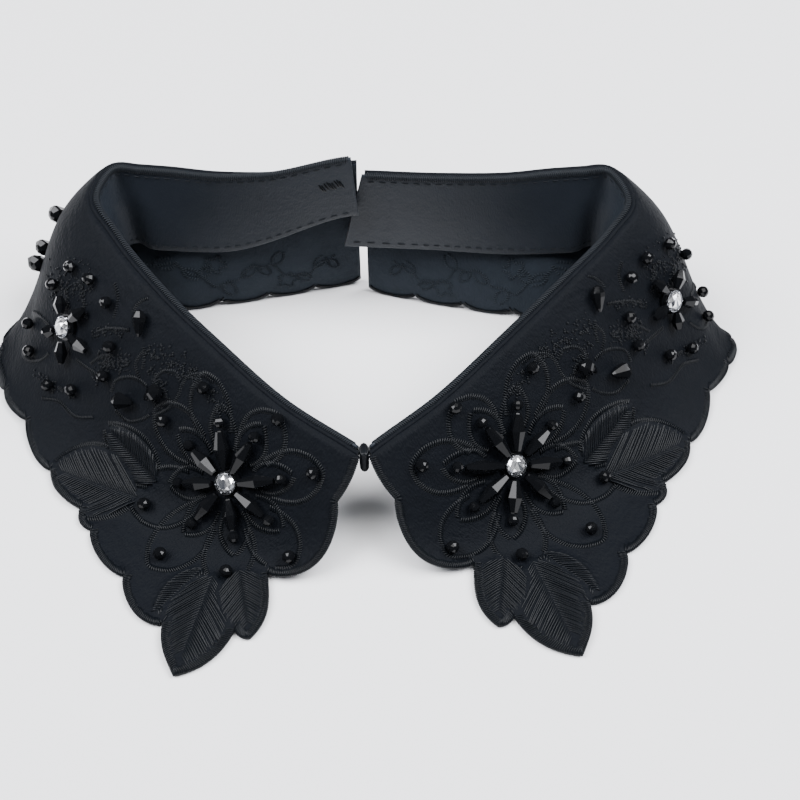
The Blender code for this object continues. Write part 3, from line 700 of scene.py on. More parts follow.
def add_node(tree, kind, links=None, values=None, **settings):
    """One node with its settings, socket values and incoming links."""
    node = tree.nodes.new(kind)
    for key, value in settings.items():
        setattr(node, key, value)
    for key, value in (values or {}).items():
        node.inputs[key].default_value = value
    for key, source in (links or {}).items():
        tree.links.new(source, node.inputs[key])
    return node


def new_material(name, colour, roughness, **sockets):
    """A Principled material; returns it with its tree and its shader."""
    mat = bpy.data.materials.new(name)
    mat.use_nodes = True
    shader = mat.node_tree.nodes["Principled BSDF"]
    shader.inputs["Base Color"].default_value = (*colour, 1.0)
    shader.inputs["Roughness"].default_value = roughness
    for key, value in sockets.items():
        shader.inputs[key.replace("_", " ")].default_value = value
    mat.diffuse_color = (*colour, 1.0)
    return mat, mat.node_tree, shader


def mottled(tree, shader, source, colour, scale, amount):
    """Slow change of a colour over the surface, as dye and lint give it."""
    noise = add_node(tree, "ShaderNodeTexNoise", {"Vector": source}, {"Scale": scale, "Detail": 4.0})
    mix = add_node(tree, "ShaderNodeMix", {"Factor": noise.outputs["Fac"]}, data_type="RGBA")
    for key, share in (("A", 1.0 - amount), ("B", 1.0 + amount)):
        mix.inputs[key].default_value = (*(min(c * share, 1.0) for c in colour), 1.0)
    tree.links.new(mix.outputs["Result"], shader.inputs["Base Color"])


def woven(tree, shader, grain_mm, strength, twill):
    """Bump of a fine uneven grain on the pattern attribute, drawn out along the twill."""
    spot = add_node(tree, "ShaderNodeAttribute", attribute_name="pattern").outputs["Vector"]
    turned = add_node(tree, "ShaderNodeMapping", {"Vector": spot},
                      {"Rotation": (0.0, 0.0, math.radians(twill)), "Scale": (1.0, 0.45, 1.0)})
    grain = add_node(tree, "ShaderNodeTexNoise", {"Vector": turned.outputs["Vector"]},
                     {"Scale": 1.0 / grain_mm, "Detail": 2.0, "Roughness": 0.6})
    slub = add_node(tree, "ShaderNodeTexNoise", {"Vector": spot}, {"Scale": 0.22 / grain_mm, "Detail": 2.0})
    height = add_node(tree, "ShaderNodeMath", {0: grain.outputs["Fac"], 1: slub.outputs["Fac"]},
                      operation="ADD")
    bump = add_node(tree, "ShaderNodeBump", {"Height": height.outputs["Value"]},
                    {"Strength": strength, "Distance": 0.0004})
    tree.links.new(bump.outputs["Normal"], shader.inputs["Normal"])
    return spot


def cloth_material(name, colour, roughness, sheen, gloss, weave, dye):
    """Cloth with its sheen, its grain (size in millimetres, strength, twill) and its dye's unevenness."""
    mat, tree, shader = new_material(name, colour, roughness, Sheen_Weight=sheen[0],
                                     Sheen_Roughness=sheen[1], Specular_IOR_Level=gloss)
    mottled(tree, shader, woven(tree, shader, *weave), colour, *dye)
    return mat


def uneven_polish(tree, shader, scale, detail, low, high):
    """Roughness that wanders between two values, as handling leaves it."""
    place = add_node(tree, "ShaderNodeTexCoord")
    noise = add_node(tree, "ShaderNodeTexNoise", {"Vector": place.outputs["Object"]},
                     {"Scale": scale, "Detail": detail})
    worn = add_node(tree, "ShaderNodeMapRange", {"Value": noise.outputs["Fac"]},
                    {"To Min": low, "To Max": high})
    tree.links.new(worn.outputs["Result"], shader.inputs["Roughness"])


def leaf_satin(colour):
    """Polyester satin: a dense matt face with a fine diagonal grain and a soft bloom at the folds."""
    return cloth_material("black_polyester_satin", colour, 0.62, sheen=(0.01, 0.4), gloss=0.07,
                          weave=(0.55, 0.7, 32.0), dye=(0.14, 0.22))


def leaf_backing(colour):
    """Plain-woven backing: flatter and a little greyer than the satin face."""
    return cloth_material("black_woven_backing", colour, 0.8, sheen=(0.05, 0.5), gloss=0.1,
                          weave=(0.7, 0.6, 0.0), dye=(0.2, 0.25))


def band_satin_lightened_for_light(colour):
    """Smooth band satin: the same cloth pressed flat, so its light runs in one even sweep; its colour is
    lighter than the leaves' satin, partly for the smoother pressed face and partly as painted light for the
    light that falls on the bands' front-facing inner side.
    """
    return cloth_material("pressed_band_satin_with_painted_light", colour, 0.48, sheen=(0.04, 0.35), gloss=0.22,
                          weave=(0.5, 0.35, 32.0), dye=(0.08, 0.15))


def embroidery_thread(colour, name="rayon_embroidery_thread", roughness=0.36, gloss=0.15):
    """Rayon thread: smooth filaments that catch a thin line of light along each stitch."""
    mat, tree, shader = new_material(name, colour, roughness, Specular_IOR_Level=gloss)
    place = add_node(tree, "ShaderNodeTexCoord")
    mottled(tree, shader, place.outputs["Object"], colour, 420.0, 0.3)
    return mat


def jet_glass(colour):
    """Fire-polished jet glass: opaque black, with sharp white lights on its facets."""
    mat, tree, shader = new_material("fire_polished_jet_glass", colour, 0.07, IOR=1.52,
                                     Specular_IOR_Level=0.17)
    uneven_polish(tree, shader, 700.0, 2.0, 0.03, 0.11)
    return mat


def foiled_crystal():
    """Foil-backed crystal with painted reflections: each facet's colour is set at random from dark grey to
    white, standing in for the bright and dark light that its facets reflect.
    """
    mat, tree, shader = new_material("foil_backed_crystal", linear("#f4f5f7"), 0.04, Metallic=0.75,
                                     Coat_Weight=1.0, Coat_Roughness=0.02)
    # Painted reflections: a random value on each facet picks its colour between dark grey and white.
    glint_value = add_node(tree, "ShaderNodeAttribute", attribute_name="painted_glint")
    ramp = add_node(tree, "ShaderNodeValToRGB", {"Fac": glint_value.outputs["Fac"]})
    for stop, code in zip(ramp.color_ramp.elements, ("#5c6068", "#ffffff")):
        stop.color = (*linear(code), 1.0)
    tree.links.new(ramp.outputs["Color"], shader.inputs["Base Color"])
    return mat


def plated_metal(name, colour, roughness):
    """Plated metal: a bright drawn surface with fine scratches."""
    mat, tree, shader = new_material(name, colour, roughness, Metallic=1.0)
    uneven_polish(tree, shader, 900.0, 3.0, roughness * 0.7, roughness * 1.4)
    return mat


# ---------------------------------------------------------------- mesh helpers

def linked(name, data):
    """Object in the scene's collection that holds a mesh, a lamp or a camera."""
    thing = bpy.data.objects.new(name, data)
    bpy.context.scene.collection.objects.link(thing)
    return thing


def finish_piece(name, mesh, material, rounded=True):
    """Object at the origin that rides the root body."""
    if material is not None:
        mesh.materials.clear()
        mesh.materials.append(material)
    for polygon in mesh.polygons:
        polygon.use_smooth = rounded
    piece = linked(name, mesh)
    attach(piece, "root")
    return piece


def evaluated(obj, name):
    """Plain mesh of an object with its modifiers applied; the object is removed."""
    bpy.context.view_layer.update()
    graph = bpy.context.evaluated_depsgraph_get()
    mesh = bpy.data.meshes.new_from_object(obj.evaluated_get(graph), depsgraph=graph)
    mesh.name = name
    obj.modifiers.clear()
    bpy.data.objects.remove(obj, do_unlink=True)
    return mesh


def thin_out(groups, pattern):
    """Pattern points that keep their spacing, found with a square grid of cells."""
    cells = {}
    kept = []

    def cell(s, t):
        return int(s // THIN_CELL), int(t // THIN_CELL)

    def near(s, t, spacing, scale):
        ci, cj = cell(s, t)
        around = [(i, j) for i in (ci - 1, ci, ci + 1) for j in (cj - 1, cj, cj + 1)]
        return any(math.hypot((a - s) * scale, b - t) < spacing
                   for spot in around for a, b in cells.get(spot, ()))

    def keep(s, t):
        kept.append((s, t))
        cells.setdefault(cell(s, t), []).append((s, t))

    for s, t in pattern.points:
        keep(float(s), float(t))
    for points, spacing, margin in groups:
        for s, t in points:
            if t < 0.5 or s > HALF_LENGTH - 0.5 or not pattern.holds(s, t):
                continue
            scale = min(stretch(s, min(t, hem_drop(s))), 2.5)
            if not near(s, t, spacing, scale) and pattern.edge_distance(s, t) >= margin:
                keep(s, t)
    return kept


def grid_points(pitch):
    """Staggered rows of pattern points, spaced as they will be on the draped cloth."""
    points = []
    row = 0
    t = 0.6 * pitch
    while t < GRID_DEPTH:
        s = -5.0 + (0.5 * pitch if row % 2 else 0.0)
        while s < HALF_LENGTH:
            if t < hem_drop(s) + 30.0:
                points.append((s, t))
            s += pitch / stretch(s, min(t, hem_drop(s)))
        t += 0.87 * pitch
        row += 1
    return points


def relief_points(pattern, border):
    """Pattern points on both sides of each step in the relief."""
    points = []
    edge = pattern.edge
    for inset in (border, border + BORDER_FADE):
        for k in range(1, len(edge) - 1):
            run = edge[k + 1] - edge[k - 1]
            run = run / np.linalg.norm(run)
            points.append((float(edge[k][0] + inset * run[1]), float(edge[k][1] - inset * run[0])))
    for motif in MOTIFS:
        steps = round(motif_frame(motif)[0] / MOTIF_FADE)
        for k in range(steps + 1):
            u = k / steps
            width = motif_width(motif, u)
            offs = (width, width - MOTIF_FADE, MOTIF_FADE, 0.0, -MOTIF_FADE, MOTIF_FADE - width, -width)
            points += [motif_spot(motif, u, off) for off in offs if abs(off) <= width]
    return points


def tag_points(mesh, name, vectors):
    """Store one vector for each of a mesh's points."""
    attribute = mesh.attributes.new(name, "FLOAT_VECTOR", "POINT")
    attribute.data.foreach_set("vector", [value for vector in vectors for value in vector])


def tag_pattern(mesh, spots):
    """Store pattern coordinates in millimetres on a mesh's points."""
    tag_points(mesh, "pattern", [(s, t, 0.0) for s, t in spots])


# ---------------------------------------------------------------- geometry node trees

def new_tree(name, inputs):
    tree = bpy.data.node_groups.new(name, "GeometryNodeTree")
    tree.interface.new_socket("Geometry", in_out="INPUT", socket_type="NodeSocketGeometry")
    for label, kind, default in inputs:
        socket = tree.interface.new_socket(label, in_out="INPUT", socket_type=kind)
        if default is not None:
            socket.default_value = default
    tree.interface.new_socket("Geometry", in_out="OUTPUT", socket_type="NodeSocketGeometry")
    return tree, add_node(tree, "NodeGroupInput"), add_node(tree, "NodeGroupOutput")


def live_socket(sockets, name, kind):
    """The socket of a name and a type that the node's settings leave in use."""
    for socket in sockets:
        if socket.name == name and socket.type == kind and socket.enabled:
            return socket
    raise RuntimeError("no {} socket named {}".format(kind, name))


def random_value(tree, seed, low, high):
    """A random number for each point, between two numbers or sockets."""
    node = add_node(tree, "FunctionNodeRandomValue", {"Seed": seed}, data_type="FLOAT")
    for name, limit in (("Min", low), ("Max", high)):
        socket = live_socket(node.inputs, name, "VALUE")
        if isinstance(limit, float):
            socket.default_value = limit
        else:
            tree.links.new(limit, socket)
    return live_socket(node.outputs, "Value", "VALUE")


def painted_result(tree, source, sink, geometry):
    """End a tree with real geometry in the finish that it was given."""
    real = add_node(tree, "GeometryNodeRealizeInstances", {"Geometry": geometry})
    painted = add_node(tree, "GeometryNodeSetMaterial",
                       {"Geometry": real.outputs["Geometry"], "Material": source.outputs["Finish"]})
    tree.links.new(painted.outputs["Geometry"], sink.inputs["Geometry"])
    return tree


def thread_tree():
    """Sweeps a round thread along every polyline."""
    tree, source, sink = new_tree("thread_along_paths", (
        ("Thread radius", "NodeSocketFloat", 0.0003),
        ("Thread sides", "NodeSocketInt", 5),
        ("Finish", "NodeSocketMaterial", None),
    ))
    paths = add_node(tree, "GeometryNodeMeshToCurve", {"Mesh": source.outputs["Geometry"]})
    ring = add_node(tree, "GeometryNodeCurvePrimitiveCircle",
                    {"Resolution": source.outputs["Thread sides"],
                     "Radius": source.outputs["Thread radius"]}, mode="RADIUS")
    tube = add_node(tree, "GeometryNodeCurveToMesh",
                    {"Curve": paths.outputs["Curve"], "Profile Curve": ring.outputs["Curve"]},
                    {"Fill Caps": True})
    return painted_result(tree, source, sink, tube.outputs["Mesh"])


def scatter_tree():
    """Sets one bead on every point, its axis along the point's facing, turned at random."""
    tree, source, sink = new_tree("beads_on_points", (
        ("Bead", "NodeSocketObject", None),
        ("Smallest", "NodeSocketFloat", 1.0),
        ("Largest", "NodeSocketFloat", 1.0),
        ("Seed", "NodeSocketInt", 7),
        ("Finish", "NodeSocketMaterial", None),
    ))
    given = source.outputs
    bead = add_node(tree, "GeometryNodeObjectInfo", {"Object": given["Bead"]})
    facing = add_node(tree, "GeometryNodeInputNamedAttribute", values={"Name": "facing"},
                      data_type="FLOAT_VECTOR")
    turn = random_value(tree, given["Seed"], 0.0, 2.0 * math.pi)
    spin = add_node(tree, "ShaderNodeCombineXYZ", {"Z": turn})
    about = add_node(tree, "FunctionNodeEulerToRotation", {"Euler": spin.outputs["Vector"]})
    stand = add_node(tree, "FunctionNodeAlignRotationToVector",
                     {"Vector": live_socket(facing.outputs, "Attribute", "VECTOR")}, axis="Z")
    turned = add_node(tree, "FunctionNodeRotateRotation",
                      {"Rotation": stand.outputs["Rotation"], "Rotate By": about.outputs["Rotation"]},
                      rotation_space="LOCAL")
    size = random_value(tree, given["Seed"], given["Smallest"], given["Largest"])
    spread = add_node(tree, "GeometryNodeInstanceOnPoints",
                      {"Points": given["Geometry"], "Instance": bead.outputs["Geometry"],
                       "Rotation": turned.outputs["Rotation"], "Scale": size})
    return painted_result(tree, source, sink, spread.outputs["Instances"])


def with_tree(mesh, tree, values, name):
    """Plain mesh made from a mesh by a geometry node tree with named inputs."""
    obj = linked(name + "_plan", mesh)
    modifier = obj.modifiers.new("nodes", "NODES")
    modifier.node_group = tree
    for item in tree.interface.items_tree:
        if item.in_out == "INPUT" and item.name in values:
            modifier[item.identifier] = values[item.name]
    return evaluated(obj, name)


def thread_mesh(name, paths, radius, sides, material):
    """Threads of a radius in metres along polylines."""
    points = []
    edges = []
    for path in paths:
        start = len(points)
        points += [tuple(p) for p in path]
        edges += [(k, k + 1) for k in range(start, len(points) - 1)]
    plan = bpy.data.meshes.new(name + "_plan")
    plan.from_pydata(points, edges, [])
    tree = bpy.data.node_groups.get("thread_along_paths") or thread_tree()
    return with_tree(plan, tree, {"Thread radius": radius, "Thread sides": sides,
                                  "Finish": material}, name)


def thread_piece(name, paths, radius, material):
    """A finished piece of sewing or embroidery."""
    finish_piece(name, thread_mesh(name, paths, radius, 5, material), None)


def bead_mesh(name, spots, bead, smallest, largest, seed, material):
    """Beads on (point, facing) spots."""
    plan = bpy.data.meshes.new(name + "_plan")
    plan.from_pydata([tuple(p) for p, _ in spots], [], [])
    tag_points(plan, "facing", [tuple(direction) for _, direction in spots])
    tree = bpy.data.node_groups.get("beads_on_points") or scatter_tree()
    return with_tree(plan, tree, {"Bead": bead, "Smallest": smallest, "Largest": largest,
                                  "Seed": seed, "Finish": material}, name)


def hidden_bead(name, solid):
    """Bead for the node trees to repeat; it is removed after them."""
    mesh = bpy.data.meshes.new(name)
    solid.to_mesh(mesh)
    solid.free()
    return linked(name, mesh)


def lathe(profile, sides):
    """Closed solid turned about +Z from (radius, height) pairs in metres."""
    solid = bmesh.new()
    points = [solid.verts.new((r, 0.0, z)) for r, z in profile]
    edges = [solid.edges.new(pair) for pair in zip(points[:-1], points[1:])]
    if profile[0][0] > 0.0 and profile[-1][0] > 0.0:
        edges.append(solid.edges.new((points[-1], points[0])))
    bmesh.ops.spin(solid, geom=points + edges, cent=(0, 0, 0), axis=(0, 0, 1), angle=2.0 * math.pi,
                   steps=sides, use_merge=True)
    bmesh.ops.remove_doubles(solid, verts=solid.verts, dist=0.000001)
    bmesh.ops.recalc_face_normals(solid, faces=solid.faces)
    return solid


def axis_frame(origin, axis, hint):
    """Matrix that puts +Z on an axis through an origin."""
    z = axis.normalized()
    x = hint.cross(z).normalized()
    y = z.cross(x)
    matrix = Matrix((x, y, z)).transposed().to_4x4()
    matrix.translation = origin
    return matrix


def merged(name, parts):
    """One mesh from (solid, matrix) parts."""
    target = bmesh.new()
    for solid, matrix in parts:
        mesh = bpy.data.meshes.new("part")
        solid.to_mesh(mesh)
        mesh.transform(matrix)
        target.from_mesh(mesh)
        bpy.data.meshes.remove(mesh)
        solid.free()
    mesh = bpy.data.meshes.new(name)
    target.to_mesh(mesh)
    target.free()
    return mesh


# ---------------------------------------------------------------- operators

class COLLAR_OT_leaves(bpy.types.Operator):
    """Drape the two scalloped leaves"""
    bl_idname = "collar.leaves"
    bl_label = "Leaves"

    def execute(self, context):
        cloth = context.scene.collar_cloth
        surface = leaf_surface()
        pattern = surface.pattern
        pitch = cloth.cloth_pitch / MM
        groups = ((relief_points(pattern, surface.border), 0.55, 0.5),
                  (grid_points(pitch), 0.75 * pitch, 0.7))
        kept = thin_out(groups, pattern)
        flat = delaunay_2d_cdt([Vector(p) for p in kept], [], [list(range(len(pattern.points)))],
                               1, 1e-5)
        spots = [(v.x, v.y) for v in flat[0]]
        normals = [face_normal(s, t) for s, t in spots]
        base = [drape(s, t) + n * surface.crease(s, t) for (s, t), n in zip(spots, normals)]
        raised = [n * surface.relief(s, t) for (s, t), n in zip(spots, normals)]
        cloths = (leaf_satin(tuple(cloth.satin)), leaf_backing(tuple(cloth.backing)))
        for side, hand in HANDS.items():
            name = "leaf_{}_cloth".format(hand)
            mesh = bpy.data.meshes.new("leaf_face")
            mesh.from_pydata([placed(p, side) for p in base], [], [f[::-side] for f in flat[2]])
            mesh = self.walled(name, mesh, cloth.leaf_wall, cloths)
            for vertex, up in zip(mesh.vertices, raised):
                vertex.co += Vector((side * up.x, up.y, up.z)) * MM
            for vertex in mesh.vertices:
                vertex.co.z = max(vertex.co.z, 0.0)
            tag_pattern(mesh, [spots[i % len(spots)] for i in range(len(mesh.vertices))])
            piece = finish_piece(name, mesh, None)
            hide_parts("leaf_" + hand)
        return {"FINISHED"}

    def walled(self, name, mesh, wall, cloths):
        """Give a leaf's outer face its thickness, with the backing on the inner side."""
        obj = linked("leaf_face", mesh)
        shell = obj.modifiers.new("wall", "SOLIDIFY")
        shell.thickness = wall
        shell.offset = -1.0
        shell.use_even_offset = True
        shell.use_quality_normals = True
        shell.material_offset = 1
        shell.material_offset_rim = 0
        for material in cloths:
            mesh.materials.append(material)
        return evaluated(obj, name)


def band_point(s, fall, band, depth):
    """Point in millimetres of a band, by its fall below the seam and its depth from the inside."""
    height = column_value("band_height", s)
    v = fall / height
    lean = math.radians(column_value("band_lean", s))
    ease = smooth(BAND_EASE_RATE * v) * smooth(1.0 - abs(s - SHOULDER_STATION) / BAND_EASE_REACH)
    out = Vector((0.0, 0.0, 0.0))
    seam = Vector((0.0, 0.0, 0.0))
    for step, share in BAND_EASE_STEPS:
        out += share * outward(s + step * ease)
        seam += share * neck_point(s + step * ease)
    out.normalize()
    point = seam - out * (fall * math.sin(lean)) - Vector((0.0, 0.0, fall * math.cos(lean)))
    ending = smooth((s - HALF_LENGTH + BAND_LIFT_REACH) / BAND_LIFT_REACH)
    point -= out * band["step"] * ending
    point.z += (band["lift_top"] * (1.0 - v) + band["lift_bottom"] * v) * ending
    wave = 0.16 * math.sin(0.13 * s + 0.5 * band["side"]) * math.sin(math.pi * min(max(v, 0.0), 1.0))
    return point + out * (depth + wave)


def band_station(u, v, band):
    """Station of a band's point, slanted near its end."""
    end = band["end_top"]
    ending = smooth((u - end + BAND_END_REACH) / BAND_END_REACH)
    return u + (band["end_bottom"] - end) * v * ending


def band_profile(height, wall):
    """Closed loop of (fall, depth) round a band's cross-section."""
    bend = 0.5 * wall
    inner = [(bend + (height - 2 * bend) * k / BAND_PROFILE_ROWS, 0.0)
             for k in range(BAND_PROFILE_ROWS + 1)]
    outer = [(fall, wall) for fall, _ in reversed(inner)]
    turns = [math.pi * k / 5 for k in range(1, 5)]
    foot = [(height - bend + bend * math.sin(a), bend - bend * math.cos(a)) for a in turns]
    head = [(bend - bend * math.sin(a), bend + bend * math.cos(a)) for a in turns]
    return inner + foot + outer + head


class COLLAR_OT_bands(bpy.types.Operator):
    """Sew the two inner bands"""
    bl_idname = "collar.bands"
    bl_label = "Bands"

    def execute(self, context):
        cloth = context.scene.collar_cloth
        thread = context.scene.collar_thread
        satin = band_satin_lightened_for_light(tuple(cloth.band))
        sewing = embroidery_thread(tuple(thread.sewing), "polyester_sewing_thread", 0.6, 0.22)
        for row in BAND_ROWS:
            band = row_dict(BAND_COLUMNS, row)
            self.shell(band, cloth, satin)
            self.topstitches(band, thread, sewing)
        return {"FINISHED"}

    def shell(self, band, cloth, satin):
        """Closed band: the profile's loops joined from end to end, with a face on each end."""
        name = band["name"] + "_cloth"
        solid = bmesh.new()
        loops = []
        spots = []
        for u in list(np.arange(BAND_FRONT, band["end_top"], 1.5)) + [band["end_top"]]:
            profile = band_profile(column_value("band_height", float(u)), cloth.band_wall / MM)
            height = max(fall for fall, _ in profile)
            loop = []
            for fall, depth in profile:
                s = band_station(float(u), fall / height, band)
                real = fall / height * column_value("band_height", s)
                loop.append(solid.verts.new(placed(band_point(s, real, band, depth), band["side"])))
                spots.append((s, fall))
            loops.append(loop)
        for near, far in zip(loops[:-1], loops[1:]):
            for k in range(len(near)):
                j = (k + 1) % len(near)
                solid.faces.new((near[k], near[j], far[j], far[k]))
        solid.faces.new(loops[0])
        solid.faces.new(loops[-1][::-1])
        bmesh.ops.recalc_face_normals(solid, faces=solid.faces)
        bmesh.ops.triangulate(solid, faces=[f for f in solid.faces if len(f.verts) > 4])
        mesh = bpy.data.meshes.new(name)
        solid.to_mesh(mesh)
        solid.free()
        tag_pattern(mesh, spots)
        piece = finish_piece(name, mesh, satin)
        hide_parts(band["name"])

    def topstitches(self, band, thread, material):
        """Running stitches near the band's top and bottom edges, where it is deep enough."""
        length = thread.seam_stitch / MM
        paths = []
        for edge in (TOPSTITCH_INSET, -TOPSTITCH_INSET):
            u = 4.0
            while u < band["end_top"] - 2.5:
                path = []
                for k, lift in enumerate(TOPSTITCH_LIFTS):
                    at = u + length * k / 4.0
                    height = column_value("band_height", at)
                    if height < 7.0:
                        continue
                    fall = edge if edge > 0 else height + edge
                    s = band_station(at, fall / height, band)
                    path.append(placed(band_point(s, fall, band, lift), band["side"]))
                if len(path) > 2:
                    paths.append(path)
                u += length + TOPSTITCH_SPACE
        thread_piece(band["name"] + "_topstitch", paths, thread.seam_radius, material)


class COLLAR_OT_seams(bpy.types.Operator):
    """Roll the neck seam between each leaf and its band, and overcast its edge"""
    bl_idname = "collar.seams"
    bl_label = "Neck seams"

    def execute(self, context):
        thread = context.scene.collar_thread
        for row in BAND_ROWS:
            self.overcast(row_dict(BAND_COLUMNS, row), thread)
        for side, hand in HANDS.items():
            self.roll(side, hand)
        return {"FINISHED"}

    def overcast(self, band, thread):
        """Slanted stitches over the top edge of the band."""
        paths = []
        u = 3.0
        while u < band["end_top"] - 1.5:
            paths.append([placed(band_point(u + OVERCAST_SLANT * k, fall, band, depth), band["side"])
                          for k, (fall, depth) in enumerate(OVERCAST_WRAP)])
            u += OVERCAST_PITCH
        thread_piece("neck_overcast_" + HANDS[band["side"]], paths, 0.9 * thread.radius,
                     bpy.data.materials["polyester_sewing_thread"])

    def roll(self, side, hand):
        """Folded edge of the leaf's cloth along the seam."""
        path = []
        for u in np.arange(0.6, HALF_LENGTH - 0.4, 1.0):
            point = neck_point(float(u)) + outward(float(u)) * ROLL_OUT
            point.z -= ROLL_DROP + 0.06 * math.sin(0.9 * u)
            path.append(placed(point, side))
        mesh = thread_mesh("neck_roll_" + hand, [path], ROLL_RADIUS, 10,
                           bpy.data.materials["black_polyester_satin"])
        tag_pattern(mesh, [(v.co.x / MM, v.co.y / MM) for v in mesh.vertices])
        finish_piece("neck_roll_" + hand, mesh, None)


def motif_stitches(surface, motif, index, pitch, side):
    """Herringbone satin stitches from a padded leaf's vein to its rim."""
    length = motif_frame(motif)[0]
    half = motif["half_width"]
    paths = []
    pitch = 1.2 * pitch
    draws = random.Random(11 + index)
    for hand in (-1, 1):
        at = (0.5 * pitch if hand > 0 else 0.0) - half
        while at < length:
            at += pitch * draws.uniform(0.85, 1.15)
            slant = draws.uniform(0.93, 1.07)
            rise = draws.uniform(0.0, 0.10)
            path = []
            for j in range(9):
                w = j / 8.0
                u = (at + slant * w * half) / length
                off = hand * (0.05 + w * (half - 0.05))
                if u < 0.01 or u > 0.995 or abs(off) > motif_width(motif, u) - 0.05:
                    continue
                s, t = motif_spot(motif, u, off)
                if surface.clear(s, t, MOTIF_MARGIN) and motif_at(s, t) in (None, index):
                    path.append((s, t))
            if len(path) > 2:
                lifts = [STITCH_DIP] + [0.02 + rise] * (len(path) - 2) + [STITCH_DIP]
                paths.append([surface.point(s, t, side, lift) for (s, t), lift in zip(path, lifts)])
    return paths


def border_stitches(surface, pitch, side):
    """Satin stitches over the cut edge."""
    edge = surface.pattern.edge
    real = [0.0]
    for near, far in zip(edge[:-1], edge[1:]):
        s, t = (float(x) for x in 0.5 * (near + far))
        run = far - near
        real.append(real[-1] + math.hypot(run[0] * stretch(s, min(t, hem_drop(s))), run[1]))
    real = np.array(real)
    paths = []
    draws = random.Random(5)
    for at in np.arange(0.4, real[-1], 0.84 * pitch):
        spot, ahead, behind = (np.array([np.interp(x, real, edge[:, c]) for c in (0, 1)])
                               for x in (at, at + 0.5, at - 0.5))
        size = np.linalg.norm(ahead - behind)
        if size < 1e-6:
            continue
        along = (ahead - behind) / size
        inward = np.array((along[1], -along[0]))
        reach = surface.border + draws.uniform(-0.3, 0.35)
        rise = draws.uniform(-0.08, 0.06)
        wraps = [(-0.12, -0.75), (-0.05, -0.1), (0.3, 0.10 + rise), (0.9, 0.13 + rise),
                 (reach, 0.06), (reach + 0.25, -0.12)]
        if spot[0] > LAST_CORNER[0]:
            wraps = [(1.3, -1.75), (0.7, -1.72), (0.1, -1.6)] + wraps
        path = []
        for depth, lift in wraps:
            s, t = (float(x) for x in spot + inward * depth + along * 0.3 * depth)
            path.append(surface.point(s, t, side, lift))
        for p in path:
            p.z = max(p.z, TABLE_CLEARANCE)
        paths.append(path)
    return paths


def smooth_path(points, pitch):
    """Even pattern points on a smooth line through a few."""
    pts = [Vector(p) for p in points]
    pts = [2 * pts[0] - pts[1]] + pts + [2 * pts[-1] - pts[-2]]
    fine = []
    for i in range(1, len(pts) - 2):
        for k in range(12):
            u = k / 12.0
            a, b, c, d = pts[i - 1:i + 3]
            fine.append(0.5 * ((2 * b) + (c - a) * u + (2 * a - 5 * b + 4 * c - d) * u * u
                               + (3 * b - a - 3 * c + d) * u**3))
    fine.append(pts[-2])
    lengths = run_lengths(fine)
    at = np.arange(0.0, lengths[-1], pitch)
    return [(float(np.interp(x, lengths, [p.x for p in fine])),
             float(np.interp(x, lengths, [p.y for p in fine]))) for x in at]


def rope_stitches(surface, points, width, pitch, side, inner=False):
    """Slanted stitches along a line, as one rope-stitched ridge."""
    line = smooth_path(points, pitch)
    paths = []
    for before, (s0, t0), after in zip(line[:-2], line[1:-1], line[2:]):
        if not surface.clear(s0, t0, ROPE_MARGIN) or motif_at(s0, t0) is not None:
            continue
        run = (Vector(after) - Vector(before)).normalized()
        across = Vector((run.y, -run.x))
        path = []
        for w, lift in ROPE_PROFILE:
            s = s0 + across.x * w * width + run.x * w * 0.3 * width
            t = t0 + across.y * w * width + run.y * w * 0.3 * width
            if inner:
                path.append(surface.inner_point(s, t, side, LEAF_WALL + lift))
            else:
                path.append(surface.point(s, t, side, lift))
        paths.append(path)
    return paths


def rope_paths(surface, lines, width, pitch, side, inner=False):
    return [path for line in lines for path in rope_stitches(surface, line, width, pitch, side, inner)]


def on_hand(lines, side):
    return [[sewn(s, t, side) for s, t in line] for line in lines]


def lobe_line(lobe):
    """Pattern points round one lobe of the front flower."""
    angle = math.radians(lobe["angle"])
    reach = lobe["reach"]
    points = []
    for hand in (-1, 1):
        side = []
        for k in range(9):
            r = LOBE_START + (reach - LOBE_START) * k / 8.0
            share = (r - LOBE_ROOT) / (reach - LOBE_ROOT)
            width = lobe["half_width"] * max(math.sin(math.pi * share**1.35), 0.0)**0.6
            side.append(turned_spot(FLOWER_CENTRE, angle, r, hand * width))
        points += side if hand < 0 else side[::-1][1:]
    return points


def motif_outlines():
    """Lines round the two padded leaves that lie on the cloth."""
    fractions = [0.06 + 0.93 * k / 14.0 for k in range(15)]
    return [[motif_spot(motif, u, hand * (motif_width(motif, u) + 0.35)) for u in fractions]
            for motif in MOTIFS[:2] for hand in (-1, 1)]


def spear_lines():
    """Pointed outlines worked round the front flower's long beads."""
    lines = []
    for angle, _, _, _ in PETAL_ROWS["front_flower"]:
        for hand in (-1, 1):
            line = []
            for k in range(8):
                u = k / 7.0
                r = SPEAR_START + (SPEAR_REACH - SPEAR_START) * u
                off = hand * SPEAR_WIDTH * math.sin(math.pi * (0.16 + 0.84 * u))**0.8 if k < 7 else 0.0
                line.append(turned_spot(FLOWER_CENTRE, math.radians(angle), r, off))
            lines.append(line)
    return lines


def back_stem(s):
    return BACK_SCROLL_DROP + 3.4 * math.sin(2.0 * math.pi * s / BACK_SCROLL_WAVE) + 0.9 * math.sin(0.9 * s)


